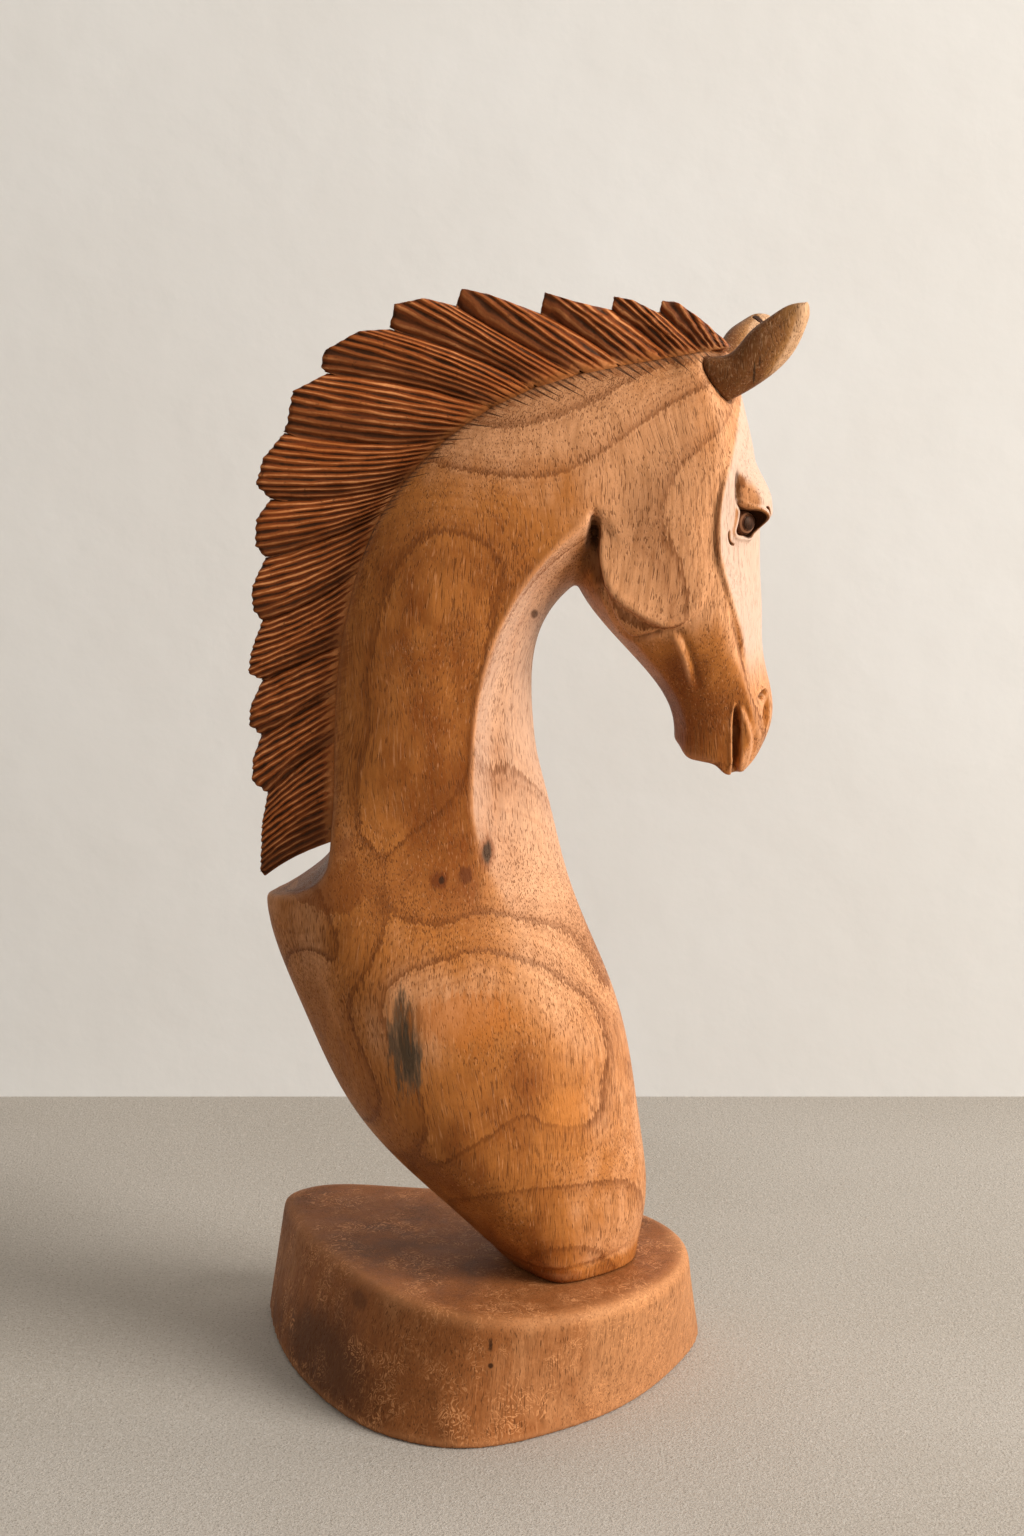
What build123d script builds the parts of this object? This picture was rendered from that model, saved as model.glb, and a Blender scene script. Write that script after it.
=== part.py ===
from build123d import *
from math import atan2, cos, degrees, hypot, radians, sin
import os

# Carved wooden horse bust on a slab base, in millimetres.
# The frame has +Z up and +X the way the horse looks. The origin is on the base's underside, on the bust's mid-plane.
# Everything that stands on the base is drawn in bust coordinates, with Z counted from the base's top, and is lifted
# by BASE_HEIGHT when it is placed.

# ---- base
BASE_LENGTH = 236.0  # along X, at the top
BASE_DEPTH = 206.0  # along Y, at the top
BASE_HEIGHT = 69.0
BASE_CENTRE = (-4.0, 9.0)  # the foot stands a little off the slab's middle
BASE_FLARE = 10.0  # how far the underside stands out past the top
BASE_TOP_ROUNDING = 7.0
BASE_BOTTOM_CHAMFER = 1.5

# ---- bust: widths across the mid-plane
CHEST_WIDTH = 122.0
NECK_WIDTH = 80.0
HEAD_WIDTH = 78.0  # under the cheeks' discs
MUZZLE_WIDTH = 48.0
MOUTH_CORE = 26.0  # left whole between the slits of the lips
NOSTRIL_SIZE = (10.0, 3.2, 6.0)  # half length, half width and depth
CHEST_BACK = 0.56  # how full the sections are near their back edge, as a share of their width
NECK_BACK = 0.40  # the neck thins toward the mane
NOSE_WIDTH = 22.0  # the flat along the bridge of the nose
CHEEK_WIDTH = 82.0  # over both discs, at their lower rim
CHEEK_SLOPE = 4.5  # degrees that each disc leans in toward the poll

# ---- mane
MANE_ROOT_THICKNESS = 34.0
MANE_POLL_THICKNESS = 26.0  # at the root beside the ears
MANE_EDGE_THICKNESS = 13.0
LOCK_STEP = 3.0  # how far each lock's lower side stands under the next
LOCK_OVERLAP = 2.0  # how far each lock runs under its lower neighbour
MANE_BACKING = 12.0  # how far the board is left over behind its seat before it is fitted to the neck
HAIRS_PER_LOCK = 5
HAIR_GROOVE_DEPTH = 2.2
HAIR_GROOVE_WIDTH = 4.6
HAIR_GROOVE_DIP = 1.6  # degrees by which a groove deepens from root to edge

# ---- ears
EAR_LENGTH = 55.0  # out of the head
EAR_WIDTH = 24.0
EAR_THICKNESS = 17.0
EAR_TENON = 9.0  # how deep the ear is let into the head
EAR_SPACING = 46.0  # between the two roots
EAR_LIFT = 40.0  # degrees the right ear points up from level
EAR_SPLAY = 10.0  # degrees the right ear leans outward
LEFT_EAR_LIFT = 36.0
LEFT_EAR_SPLAY = 44.0  # the left ear is turned well out to its side
LEFT_EAR_SHIFT = (-2.0, 3.3)  # along X and Z, from the right ear's place
EAR_HOLLOW_DEPTH = 5.0

# ---- eyes
EYE_DIAMETER = 15.0
EYE_SPACING = 35.0  # between the two eyeball centres
EYE_TURN = 38.0  # degrees that each eye looks forward of square to the side
EYE_CLEARANCE = 0.15  # all round, in the drilled socket
PUPIL_DIAMETER = 7.2
PUPIL_DEPTH = 5.0
PUPIL_PROUD = 0.4
BROW_SIZE = (29.0, 27.0, 31.0)  # of the lid over each eye: forward, across, up
BROW_OUT = 4.5  # how far outside the eyeball's centre the lid's middle is

# ---- what holds it together
FOOT_DOWEL_DIAMETER = 12.0
FOOT_DOWEL_LENGTH = 60.0
FOOT_DOWEL_SPACING = 44.0
SCREW_DIAMETER = 10.0
SCREW_LENGTH = 110.0  # under the head
SCREW_HEAD_ACROSS = 17.0  # across the flats
SCREW_HEAD_HEIGHT = 7.0
WASHER_DIAMETER = 28.0
WASHER_THICKNESS = 2.5
COUNTERBORE_DIAMETER = 32.0
COUNTERBORE_DEPTH = 12.0
MANE_DOWEL_DIAMETER = 8.0
MANE_DOWEL_LENGTH = 36.0
MANE_DOWEL_COUNT = 4
EAR_DOWEL_DIAMETER = 6.0
EAR_DOWEL_LENGTH = 30.0
PEG_WIDTH = 3.0
PEG_HEIGHT = 5.0
PEG_LENGTH = 9.0
END_GAP = 1.0  # room for glue past each dowel's end
CENTRE_FLATS = 84.0  # degrees of latitude at which a ball's two end flats begin

# ---- where the pieces meet, as (x, z) on the mid-plane in bust coordinates
FOOT_DOWEL_X = 34.0
SCREW_X = 56.0
EYE_X, EYE_Z = 133.5, 411.0
BROW_X, BROW_Z = 136.0, 430.5
EAR_X, EAR_Z = 127.0, 485.2

# The line along the neck's back and crest that the mane is glued to. It has one point at each lock's root,
# from the mane's hanging end to the poll.
LOCK_ROOTS = [
    (-82, 246), (-80, 294), (-79, 320), (-76, 345), (-67, 384), (-54, 415), (-42, 432), (-20, 454),
    (3, 470), (25, 480), (48, 487), (73, 492), (97, 496), (113, 499), (128, 501),
]

# The free edge of each lock, in the same order. The gap between one lock's end and the next one's start is a notch.
LOCK_EDGES = [
    [(-122, 221), (-121, 246), (-118, 261)],
    [(-126, 270), (-125, 283), (-121, 293)],
    [(-127, 300), (-126, 311), (-120, 324)],
    [(-127, 328), (-125, 341), (-119, 356)],
    [(-124, 363), (-124, 375), (-117, 389)],
    [(-122, 396), (-121, 411), (-114, 421)],
    [(-121, 428), (-117, 443), (-106, 456)],
    [(-105, 460), (-101, 479), (-83, 487)],
    [(-86, 491), (-84, 499), (-66, 509), (-50, 510)],
    [(-47, 523), (-32, 525), (-15, 522)],
    [(-12, 531), (2, 528), (29, 518)],
    [(31, 529), (65, 520)],
    [(67, 526), (76, 525), (91, 518)],
    [(92, 525), (100, 524), (113, 515), (128, 502)],
]

# The base's plan at its top and at its underside, as shares of its half length and half depth: a rounded shield
# with its point at the back left. Both lists run the same way round, point for point.
BASE_TOP_PLAN = [
    (-0.985, 0.80), (-0.86, 0.28), (-0.64, -0.24), (-0.35, -0.70), (0.02, -0.97), (0.37, -0.94),
    (0.72, -0.70), (0.95, -0.30), (0.985, 0.10), (0.80, 0.53), (0.20, 0.86), (-0.45, 1.0), (-0.90, 0.97),
]
BASE_FOOT_PLAN = [
    (-0.99, 0.66), (-0.90, 0.14), (-0.68, -0.45), (-0.38, -0.86), (-0.06, -0.99), (0.28, -0.85),
    (0.62, -0.53), (0.88, -0.05), (0.99, 0.45), (0.82, 0.80), (0.20, 0.96), (-0.45, 1.0), (-0.90, 0.93),
]


def at(x, z, turn=0.0):
    """The section plane through (x, z) on the mid-plane, its first axis turned up by turn degrees from +X."""
    tilt = radians(turn)
    return Plane(origin=(x, 0, z), x_dir=(cos(tilt), 0, sin(tilt)), z_dir=(-sin(tilt), 0, cos(tilt)))


def side_plate(outline, thickness):
    """A flat piece of that thickness, astride the mid-plane, from a closed outline drawn in (x, z)."""
    # Plane.XZ looks along -Y, so its first axis is +X and its second is +Z
    return extrude(Plane.XZ * make_face(outline), amount=thickness / 2, both=True)


def upright(radius, height):
    """A round rod that stands on its own origin."""
    return Cylinder(radius, height, align=(Align.CENTER, Align.CENTER, Align.MIN))


# ---------------------------------------------------------------- base

def ball(radius):
    """A turned ball, with the small flats that the lathe's centres leave on it."""
    return Sphere(radius, -CENTRE_FLATS, CENTRE_FLATS)


def base_outline(plan, grow):
    cx, cy = BASE_CENTRE
    half_length, half_depth = BASE_LENGTH / 2 + grow, BASE_DEPTH / 2 + grow
    return make_face(Spline(*[(cx + u * half_length, cy + v * half_depth) for u, v in plan], periodic=True))


def foot_dowel_places():
    return [Pos(FOOT_DOWEL_X, side * FOOT_DOWEL_SPACING / 2, 0) for side in (-1, 1)]


def make_base():
    slab = loft([
        base_outline(BASE_FOOT_PLAN, BASE_FLARE),
        Pos(0, 0, BASE_HEIGHT) * base_outline(BASE_TOP_PLAN, 0),
    ])
    slab = fillet(slab.edges().sort_by(Axis.Z)[-1], BASE_TOP_ROUNDING)
    slab = chamfer(slab.edges().sort_by(Axis.Z)[0], BASE_BOTTOM_CHAMFER)
    depth = FOOT_DOWEL_LENGTH / 2 + END_GAP
    for place in foot_dowel_places():
        slab -= Pos(0, 0, BASE_HEIGHT - depth) * place * upright(FOOT_DOWEL_DIAMETER / 2, depth)
    slab -= Pos(SCREW_X, 0, 0) * upright(SCREW_DIAMETER / 2, BASE_HEIGHT)
    return slab - Pos(SCREW_X, 0, 0) * upright(COUNTERBORE_DIAMETER / 2, COUNTERBORE_DEPTH)


# ---------------------------------------------------------------- bust

def trunk_section(back, front, half_width, widest, corner, corner_width, edge_turn):
    """One section through the chest or neck, from its back to its front, both (x, z) on the mid-plane.

    widest and corner are shares of the section's length: where it is broadest, and where the side turns to the
    front. corner_width is the half width there, as a share of half_width. edge_turn is how hard the side turns
    at that corner, from 0 for a smooth round to 1 for a crisp ridge."""
    length = hypot(front[0] - back[0], front[1] - back[1])
    turn = degrees(atan2(front[1] - back[1], front[0] - back[0]))
    x, y = corner * length, corner_width * half_width
    back_x, back_y = 0.10 * length, (CHEST_BACK + (NECK_BACK - CHEST_BACK) * edge_turn) * half_width
    before, after = 0.75 - 0.65 * edge_turn, 0.75 + 0.35 * edge_turn
    return at(*back, turn) * make_face([
        Spline((back_x, back_y), (widest * length, half_width), (x, y), tangents=[(0.8, 1), (1, -before)]),
        Spline((x, y), (length, 0), (x, -y), tangents=[(1, -after), (-1, -after)]),
        Spline((x, -y), (widest * length, -half_width), (back_x, -back_y), tangents=[(-1, -before), (-0.8, 1)]),
        Spline((back_x, -back_y), (0, 0), (back_x, back_y), tangents=[(-0.8, 1), (0.8, 1)]),
    ])


def make_trunk():
    chest, neck = CHEST_WIDTH / 2, NECK_WIDTH / 2
    return loft([
        trunk_section((13, 0), (84, 0), 0.74 * chest, 0.38, 0.72, 0.74, 0),
        trunk_section((-10, 22), (87, 22), 0.88 * chest, 0.45, 0.78, 0.72, 0),
        trunk_section((-46, 55), (88, 55), 0.97 * chest, 0.52, 0.82, 0.72, 0),
        trunk_section((-80, 98), (82, 98), chest, 0.55, 0.83, 0.72, 0),
        trunk_section((-103, 150), (71, 150), 0.97 * chest, 0.55, 0.83, 0.70, 0),
        trunk_section((-119, 200), (51, 200), 0.84 * chest, 0.56, 0.80, 0.72, 0.15),
        trunk_section((-114, 240), (39, 240), 1.04 * neck, 0.50, 0.73, 0.90, 0.6),
        trunk_section((-100, 285), (28, 285), neck, 0.48, 0.73, 0.97, 1),
        trunk_section((-94, 330), (25, 330), neck, 0.50, 0.79, 0.97, 1),
        trunk_section((-88, 375), (35, 363), neck, 0.50, 0.82, 0.97, 1),
        trunk_section((-72, 425), (60, 385), neck, 0.50, 0.80, 0.97, 1),
        trunk_section((-36, 465), (84, 400), 0.97 * neck, 0.50, 0.79, 0.96, 1),
        trunk_section((20, 494), (100, 415), 0.92 * neck, 0.50, 0.82, 0.95, 1),
        trunk_section((78, 508), (116, 432), 0.84 * neck, 0.52, 0.84, 0.94, 1),
        trunk_section((110, 510), (127, 452), 0.72 * neck, 0.52, 0.82, 0.94, 1),
    ])


def head_section(z, back, ridge, front, half_width, nose):
    """One level section through the head: round jaw, flat side, slanting face plane and the bridge of the nose.

    back, ridge and front are X of the jaw, of the crest along the face, and of the nose."""
    length = front - back
    bridge = nose * NOSE_WIDTH / 2
    jaw_x, jaw_y = 0.12 * length, 0.80 * half_width
    ridge_x, ridge_y = ridge - back, 0.95 * half_width
    step = length - 3.0
    return at(back, z) * make_face([
        Spline((jaw_x, jaw_y), (0, 0), (jaw_x, -jaw_y), tangents=[(-0.5, -1), (0.5, -1)]),
        Spline((jaw_x, -jaw_y), (0.55 * ridge_x, -half_width), (ridge_x, -ridge_y)),
        Line((ridge_x, -ridge_y), (step, -bridge)),
        Spline((step, -bridge), (length, 0), (step, bridge)),
        Line((step, bridge), (ridge_x, ridge_y)),
        Spline((ridge_x, ridge_y), (0.55 * ridge_x, half_width), (jaw_x, jaw_y)),
    ])


def make_head():
    head, muzzle = HEAD_WIDTH / 2, MUZZLE_WIDTH / 2
    return loft([
        head_section(268, 103, 134, 146, 0.88 * muzzle, 0.80),
        head_section(290, 101, 138, 149, 0.97 * muzzle, 0.90),
        head_section(312, 98, 140, 154, 1.05 * muzzle, 0.95),
        head_section(330, 86, 135, 150.5, 1.20 * muzzle, 0.95),
        head_section(352, 66, 130, 147.5, 0.93 * head, 0.95),
        head_section(376, 49, 126, 146.5, head, 1.0),
        head_section(405, 46, 122, 145.5, head, 1.1),
        head_section(432, 50, 123, 144, head, 1.2),
        head_section(458, 62, 124, 139, 0.92 * head, 1.3),
        head_section(480, 80, 119, 133.5, 0.80 * head, 1.2),
        head_section(499, 94, 113, 127, 0.60 * head, 0.9),
    ])


def cheek_plane(side):
    """The flat of one cheek, leaning in toward the poll, with its normal outward."""
    lean = radians(CHEEK_SLOPE)
    return Plane(origin=(88, side * CHEEK_WIDTH / 2, 352), x_dir=(1, 0, 0), z_dir=(0, side * cos(lean), sin(lean)))


def make_cheeks():
    """The discs of both jaws, as one slab right through the head."""
    rim = Spline((58, 404), (60, 386), (67, 373), (80, 364), (94, 358), (106, 362), (115, 374), (121, 392), (124, 410))
    disc = side_plate([rim, Polyline((124, 410), (118, 470), (75, 470), (58, 404))], 1.5 * CHEEK_WIDTH)
    for side in (-1, 1):
        disc = split(disc, bisect_by=cheek_plane(side), keep=Keep.BOTTOM)
    return disc


def make_brow(side):
    across = side * (EYE_SPACING / 2 + BROW_OUT)
    return Pos(BROW_X, across, BROW_Z) * scale(ball(0.5), by=BROW_SIZE)


def chin_trim():
    """What is sawn away below the muzzle, to leave the chin, the lips and the tip of the nose."""
    lips = Spline((156, 305), (150, 291), (143, 281), (136, 276.5), (129, 276.5), (124, 280.5))
    chin = Spline((124, 280.5), (116, 283.5), (109, 284.5), (104, 291))
    below = Polyline((104, 291), (92, 296), (92, 255), (170, 255), (170, 305), (156, 305))
    return side_plate([lips, chin, below], 2 * HEAD_WIDTH)


def mouth_slit():
    """The parting of the lips on both sides, which leaves the mouth closed along the middle."""
    tip, corner = (137, 268), (132, 317)
    back = Spline((132, 268), (131.5, 292), corner)
    front = Spline(corner, (136, 294), tip)
    slit = [back, front, Line(tip, (132, 268))]
    return side_plate(slit, 2 * HEAD_WIDTH) - side_plate(slit, MOUTH_CORE)


def nostril(side):
    """A slanting teardrop in the corner of the muzzle, open to the front."""
    cut = Plane(origin=(151.5, side * 12.5, 309), x_dir=(0.2, 0, 1), z_dir=(0.8, side * 0.6, -0.16))
    return cut * scale(ball(1), by=NOSTRIL_SIZE)


def crest_line():
    return Spline(*LOCK_ROOTS)


def crest_trim():
    """What is sawn off the blank behind the neck: above the withers, then along the crest to the poll."""
    start, end = LOCK_ROOTS[0], LOCK_ROOTS[-1]
    withers = Spline((-150, 209), (-112, 209), (-89, 221), start, tangents=[(1, 0), (0.05, 1)])
    behind = Polyline(end, (140, 502), (140, 545), (-150, 545), (-150, 209))
    return side_plate([withers, crest_line(), behind], 2 * CHEST_WIDTH)


def eye_axis(side):
    """One eyeball's centre, with the local Z along the way it looks."""
    turn = radians(EYE_TURN)
    return Plane(origin=(EYE_X, side * EYE_SPACING / 2, EYE_Z), z_dir=(sin(turn), side * cos(turn), 0))


def eye_socket(side):
    """A flat-bottomed drilling that the ball drops into, with a flared mouth."""
    radius = EYE_DIAMETER / 2 + EYE_CLEARANCE
    mouth = Cone(radius, 1.25 * radius, 30, align=(Align.CENTER, Align.CENTER, Align.MIN))
    return eye_axis(side) * (Pos(0, 0, -radius) * upright(radius, 1.25 * radius) + Pos(0, 0, 0.25 * radius) * mouth)


def make_bust(ears):
    bust = make_trunk() + make_head() + make_cheeks()
    for side in (-1, 1):
        bust += make_brow(side)
    bust -= crest_trim()
    bust -= chin_trim()
    bust -= mouth_slit()
    for side in (-1, 1):
        bust -= eye_socket(side)
        bust -= nostril(side)
        bust -= ear_dowel_hole(side)
    for ear in ears:
        bust -= ear
    for place in foot_dowel_places():
        bust -= place * upright(FOOT_DOWEL_DIAMETER / 2, FOOT_DOWEL_LENGTH / 2 + END_GAP)
    for place in mane_dowel_places():
        bust -= place * mane_dowel_hole()
    grip = SCREW_LENGTH - screw_reach() + END_GAP
    return bust - Pos(SCREW_X, 0, 0) * upright(SCREW_DIAMETER / 2, grip)


# ---------------------------------------------------------------- mane

def unit(x, z):
    size = hypot(x, z)
    return x / size, z / size


def midpoint(a, b):
    return (a[0] + b[0]) / 2, (a[1] + b[1]) / 2


def lock_prism(index):
    """One lock's outline as a thick plate, run on past its root and under its lower neighbour."""
    root_low, root_high, edge = LOCK_ROOTS[index], LOCK_ROOTS[index + 1], LOCK_EDGES[index]
    notch = LOCK_EDGES[index - 1][-1] if index else edge[0]
    down_x, down_z = unit(root_low[0] - root_high[0], root_low[1] - root_high[1])
    tuck = LOCK_OVERLAP if index else 0
    low = (root_low[0] + tuck * down_x, root_low[1] + tuck * down_z)
    low_notch = (notch[0] + tuck * down_x, notch[1] + tuck * down_z)
    in_x, in_z = -down_z * MANE_BACKING, down_x * MANE_BACKING
    corners = [(root_high[0] + in_x, root_high[1] + in_z), root_high, *reversed(edge)]
    corners += [low_notch, low] if index else [low]
    corners += [(low[0] + in_x, low[1] + in_z)]
    return side_plate(Polyline(*corners, close=True), 2 * MANE_ROOT_THICKNESS)


def make_lock(index):
    """One lock of hair: a wedge that thins to its free edge, stepped on its neighbours, with V-grooves for hairs."""
    root_low, root_high = LOCK_ROOTS[index], LOCK_ROOTS[index + 1]
    edge = LOCK_EDGES[index]
    root, tip = midpoint(root_low, root_high), midpoint(edge[0], edge[-1])
    reach = hypot(tip[0] - root[0], tip[1] - root[1])
    out_x, out_z = unit(tip[0] - root[0], tip[1] - root[1])
    width = hypot(edge[-1][0] - edge[0][0], edge[-1][1] - edge[0][1])
    root_width = hypot(root_high[0] - root_low[0], root_high[1] - root_low[1])

    share = index / (len(LOCK_EDGES) - 1)
    thickness = MANE_ROOT_THICKNESS + (MANE_POLL_THICKNESS - MANE_ROOT_THICKNESS) * share
    thinning = (thickness - MANE_EDGE_THICKNESS) / 2 / reach
    lean = LOCK_STEP / max(width, root_width)

    lock = lock_prism(index)
    for side in (-1, 1):
        # (out_z, -out_x) runs up the crest, toward the poll
        normal = (thinning * out_x - lean * out_z, side, thinning * out_z + lean * out_x)
        x_dir = (out_x, -side * thinning, out_z)
        face = Plane(origin=(root[0], side * thickness / 2, root[1]), x_dir=x_dir, z_dir=normal)
        lock = split(lock, bisect_by=face, keep=Keep.BOTTOM)
        for hair in range(HAIRS_PER_LOCK):
            across = (hair + 0.5) / HAIRS_PER_LOCK - 0.5
            lock -= hair_groove(face, side * across * root_width, side * across * width, reach)
    return lock


def hair_groove(face, at_root, at_edge, reach):
    """A V-groove across a lock's face, from near its root to beyond its free edge."""
    turn = degrees(atan2(at_edge - at_root, reach))
    # the tool stands well clear of the face, so that it never closes over as it dips
    tall = 3.0
    half, top = tall * HAIR_GROOVE_WIDTH / 2, (tall - 1) * HAIR_GROOVE_DEPTH
    vee = Polyline((0, -half, top), (0, half, top), (0, 0, -HAIR_GROOVE_DEPTH), close=True)
    cutter = extrude(make_face(vee), amount=1.4 * reach, dir=(1, 0, 0))
    start = Pos(0.05 * reach, at_root, 0.8 * HAIR_GROOVE_DEPTH)
    return face * start * Rot(0, HAIR_GROOVE_DIP, turn) * cutter


def make_mane():
    locks = [make_lock(index) for index in range(len(LOCK_EDGES))]
    mane = locks[0].fuse(*locks[1:])
    end, start = LOCK_ROOTS[-1], LOCK_ROOTS[0]
    neck_side = Polyline(end, (134, 470), (60, 440), (0, 400), (-30, 340), (-50, 236), (-84, 236), start)
    mane -= side_plate([crest_line(), neck_side], 3 * MANE_ROOT_THICKNESS)
    for place in mane_dowel_places():
        mane -= place * mane_dowel_hole()
    return mane


def mane_dowel_places():
    """Planes on the crest, local Z square to it and out of the neck, one for each dowel."""
    path = crest_line()
    places = []
    for index in range(MANE_DOWEL_COUNT):
        share = (index + 0.5) / MANE_DOWEL_COUNT
        point, along = path @ share, path % share
        places.append(Plane(origin=(point.X, 0, point.Y), x_dir=(0, 1, 0), z_dir=(-along.Y, 0, along.X)))
    return places


def mane_dowel_hole():
    return Cylinder(MANE_DOWEL_DIAMETER / 2, MANE_DOWEL_LENGTH + 2 * END_GAP)


# ---------------------------------------------------------------- ears

def ear_axis(side):
    """One ear's root, with the local Z out along the ear and the local X across it, in the upright plane."""
    left = side > 0
    lift = radians(LEFT_EAR_LIFT if left else EAR_LIFT)
    splay = radians(LEFT_EAR_SPLAY if left else EAR_SPLAY)
    back, up = LEFT_EAR_SHIFT if left else (0, 0)
    aim = (cos(lift) * cos(splay), side * sin(splay), sin(lift) * cos(splay))
    root = (EAR_X + back, side * EAR_SPACING / 2, EAR_Z + up)
    return Plane(origin=root, x_dir=(-sin(lift), 0, cos(lift)), z_dir=aim)


def make_ear(side):
    """A leaf with a round back, its tip swept up, let into the head at its root and hollowed in front."""
    half_width, half_thickness = EAR_WIDTH / 2, EAR_THICKNESS / 2
    stations = [
        # share of the length, width, thickness, how far the middle is swept up
        (-EAR_TENON / EAR_LENGTH, 0.70, 0.50, 0), (0.12, 0.91, 0.94, 0), (0.30, 0.97, 1.0, 0), (0.50, 1.0, 0.95, 0.08),
        (0.66, 0.87, 0.80, 0.15), (0.80, 0.68, 0.60, 0.27), (0.92, 0.40, 0.38, 0.33), (1.0, 0.14, 0.14, 0.37),
    ]
    leaf = loft([
        Pos(swept * half_width, 0, share * EAR_LENGTH) * Ellipse(wide * half_width, thick * half_thickness)
        for share, wide, thick, swept in stations
    ])
    # local Y points away from the other ear on the right and toward it on the left
    hollow = Pos(-0.62 * half_width, side * 0.9 * half_thickness, 0.56 * EAR_LENGTH)
    leaf -= hollow * scale(ball(1), by=(0.8 * half_width, EAR_HOLLOW_DEPTH, 0.30 * EAR_LENGTH))
    return ear_axis(side) * leaf


def ear_dowel_hole(side, spare=END_GAP):
    """The drilled hole for an ear's dowel, half in the ear and half in the head."""
    return ear_axis(side) * Pos(0, 0, -EAR_TENON) * Cylinder(EAR_DOWEL_DIAMETER / 2, EAR_DOWEL_LENGTH + 2 * spare)


def peg_block(side):
    """The small square peg let into the inner face of an ear, near its back edge and its tip."""
    place = Pos(0.66 * EAR_WIDTH / 2, side * 0.53 * EAR_THICKNESS / 2, 0.76 * EAR_LENGTH)
    return ear_axis(side) * place * Box(PEG_HEIGHT, PEG_LENGTH, PEG_WIDTH)


# ---------------------------------------------------------------- eyes

def make_pupil(side):
    radius = EYE_DIAMETER / 2 + PUPIL_PROUD
    plug = Pos(0, 0, radius - PUPIL_DEPTH) * upright(PUPIL_DIAMETER / 2, PUPIL_DEPTH)
    return eye_axis(side) * (plug & ball(radius))


def make_eye(side):
    """A turned ball with a plug hole for its pupil."""
    depth = PUPIL_DEPTH - PUPIL_PROUD
    hole = Pos(0, 0, EYE_DIAMETER / 2 - depth) * upright(PUPIL_DIAMETER / 2, 2 * depth)
    return eye_axis(side) * (ball(EYE_DIAMETER / 2) - hole)


# ---------------------------------------------------------------- dowels and screw

def screw_reach():
    """From the washer's underside to the base's top."""
    return BASE_HEIGHT - COUNTERBORE_DEPTH + WASHER_THICKNESS


def make_foot_dowels():
    rod = Cylinder(FOOT_DOWEL_DIAMETER / 2, FOOT_DOWEL_LENGTH)
    return Compound([place * rod for place in foot_dowel_places()])


def make_mane_dowels():
    rod = Cylinder(MANE_DOWEL_DIAMETER / 2, MANE_DOWEL_LENGTH)
    return Compound([place * rod for place in mane_dowel_places()])


def make_ear_dowels():
    return Compound([ear_dowel_hole(side, spare=0) for side in (-1, 1)])


def make_washer():
    ring = upright(WASHER_DIAMETER / 2, WASHER_THICKNESS) - upright(SCREW_DIAMETER / 2, WASHER_THICKNESS)
    return Pos(SCREW_X, 0, COUNTERBORE_DEPTH - WASHER_THICKNESS - BASE_HEIGHT) * ring


def make_screw():
    """The coach screw, its hexagon head pulled up on the washer in the base's counterbore."""
    shank = upright(SCREW_DIAMETER / 2, SCREW_LENGTH)
    tip = Pos(0, 0, SCREW_LENGTH) * Cone(
        SCREW_DIAMETER / 2, 1, SCREW_DIAMETER, align=(Align.CENTER, Align.CENTER, Align.MAX)
    )
    shank = shank - Pos(0, 0, SCREW_LENGTH - SCREW_DIAMETER) * upright(SCREW_DIAMETER, SCREW_DIAMETER) + tip
    head = extrude(RegularPolygon(SCREW_HEAD_ACROSS / 2, 6, major_radius=False), -SCREW_HEAD_HEIGHT)
    return Pos(SCREW_X, 0, -screw_reach()) * (shank + head)


def build_pieces():
    """Every piece by name, in bust coordinates."""
    right_ear, left_ear = make_ear(-1), make_ear(1)
    pieces = {
        "base": Pos(0, 0, -BASE_HEIGHT) * make_base(),
        "bust": make_bust([right_ear, left_ear]),
        "mane": make_mane() - right_ear - left_ear,
        "ear_right": right_ear - ear_dowel_hole(-1),
        "ear_left": left_ear - ear_dowel_hole(1) - peg_block(1),
        "ear_peg": peg_block(1) & left_ear,
        "eye_right": make_eye(-1),
        "eye_left": make_eye(1),
        "pupil_right": make_pupil(-1),
        "pupil_left": make_pupil(1),
        "foot_dowels": make_foot_dowels(),
        "mane_dowels": make_mane_dowels(),
        "ear_dowels": make_ear_dowels(),
        "base_screw": make_screw(),
        "screw_washer": make_washer(),
    }
    return pieces


if __name__ == "__main__":
    os.makedirs("parts", exist_ok=True)
    for name, piece in build_pieces().items():
        export_step(Pos(0, 0, BASE_HEIGHT) * piece, f"parts/{name}.step")
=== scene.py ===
import bpy
import bmesh
import math
import numpy as np
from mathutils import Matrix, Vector
from mathutils.bvhtree import BVHTree


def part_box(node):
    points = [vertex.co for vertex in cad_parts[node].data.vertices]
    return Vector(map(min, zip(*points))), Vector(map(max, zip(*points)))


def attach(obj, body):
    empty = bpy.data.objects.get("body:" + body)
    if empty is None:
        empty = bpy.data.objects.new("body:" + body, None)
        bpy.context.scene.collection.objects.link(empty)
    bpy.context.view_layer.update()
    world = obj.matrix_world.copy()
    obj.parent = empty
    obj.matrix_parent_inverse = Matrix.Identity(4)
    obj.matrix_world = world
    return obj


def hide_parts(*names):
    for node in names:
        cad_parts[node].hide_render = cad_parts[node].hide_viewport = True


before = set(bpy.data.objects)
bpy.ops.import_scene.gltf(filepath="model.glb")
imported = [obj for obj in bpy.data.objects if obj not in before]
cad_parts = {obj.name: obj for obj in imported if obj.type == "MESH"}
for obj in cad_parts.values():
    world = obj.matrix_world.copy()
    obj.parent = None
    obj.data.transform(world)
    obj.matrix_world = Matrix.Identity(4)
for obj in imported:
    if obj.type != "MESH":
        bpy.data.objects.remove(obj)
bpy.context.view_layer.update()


# ---------- the room
# A plain plastered wall and a trowelled concrete floor behind and under the carving.
# The viewer stands on the horse's right side and looks a little down on it.

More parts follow.
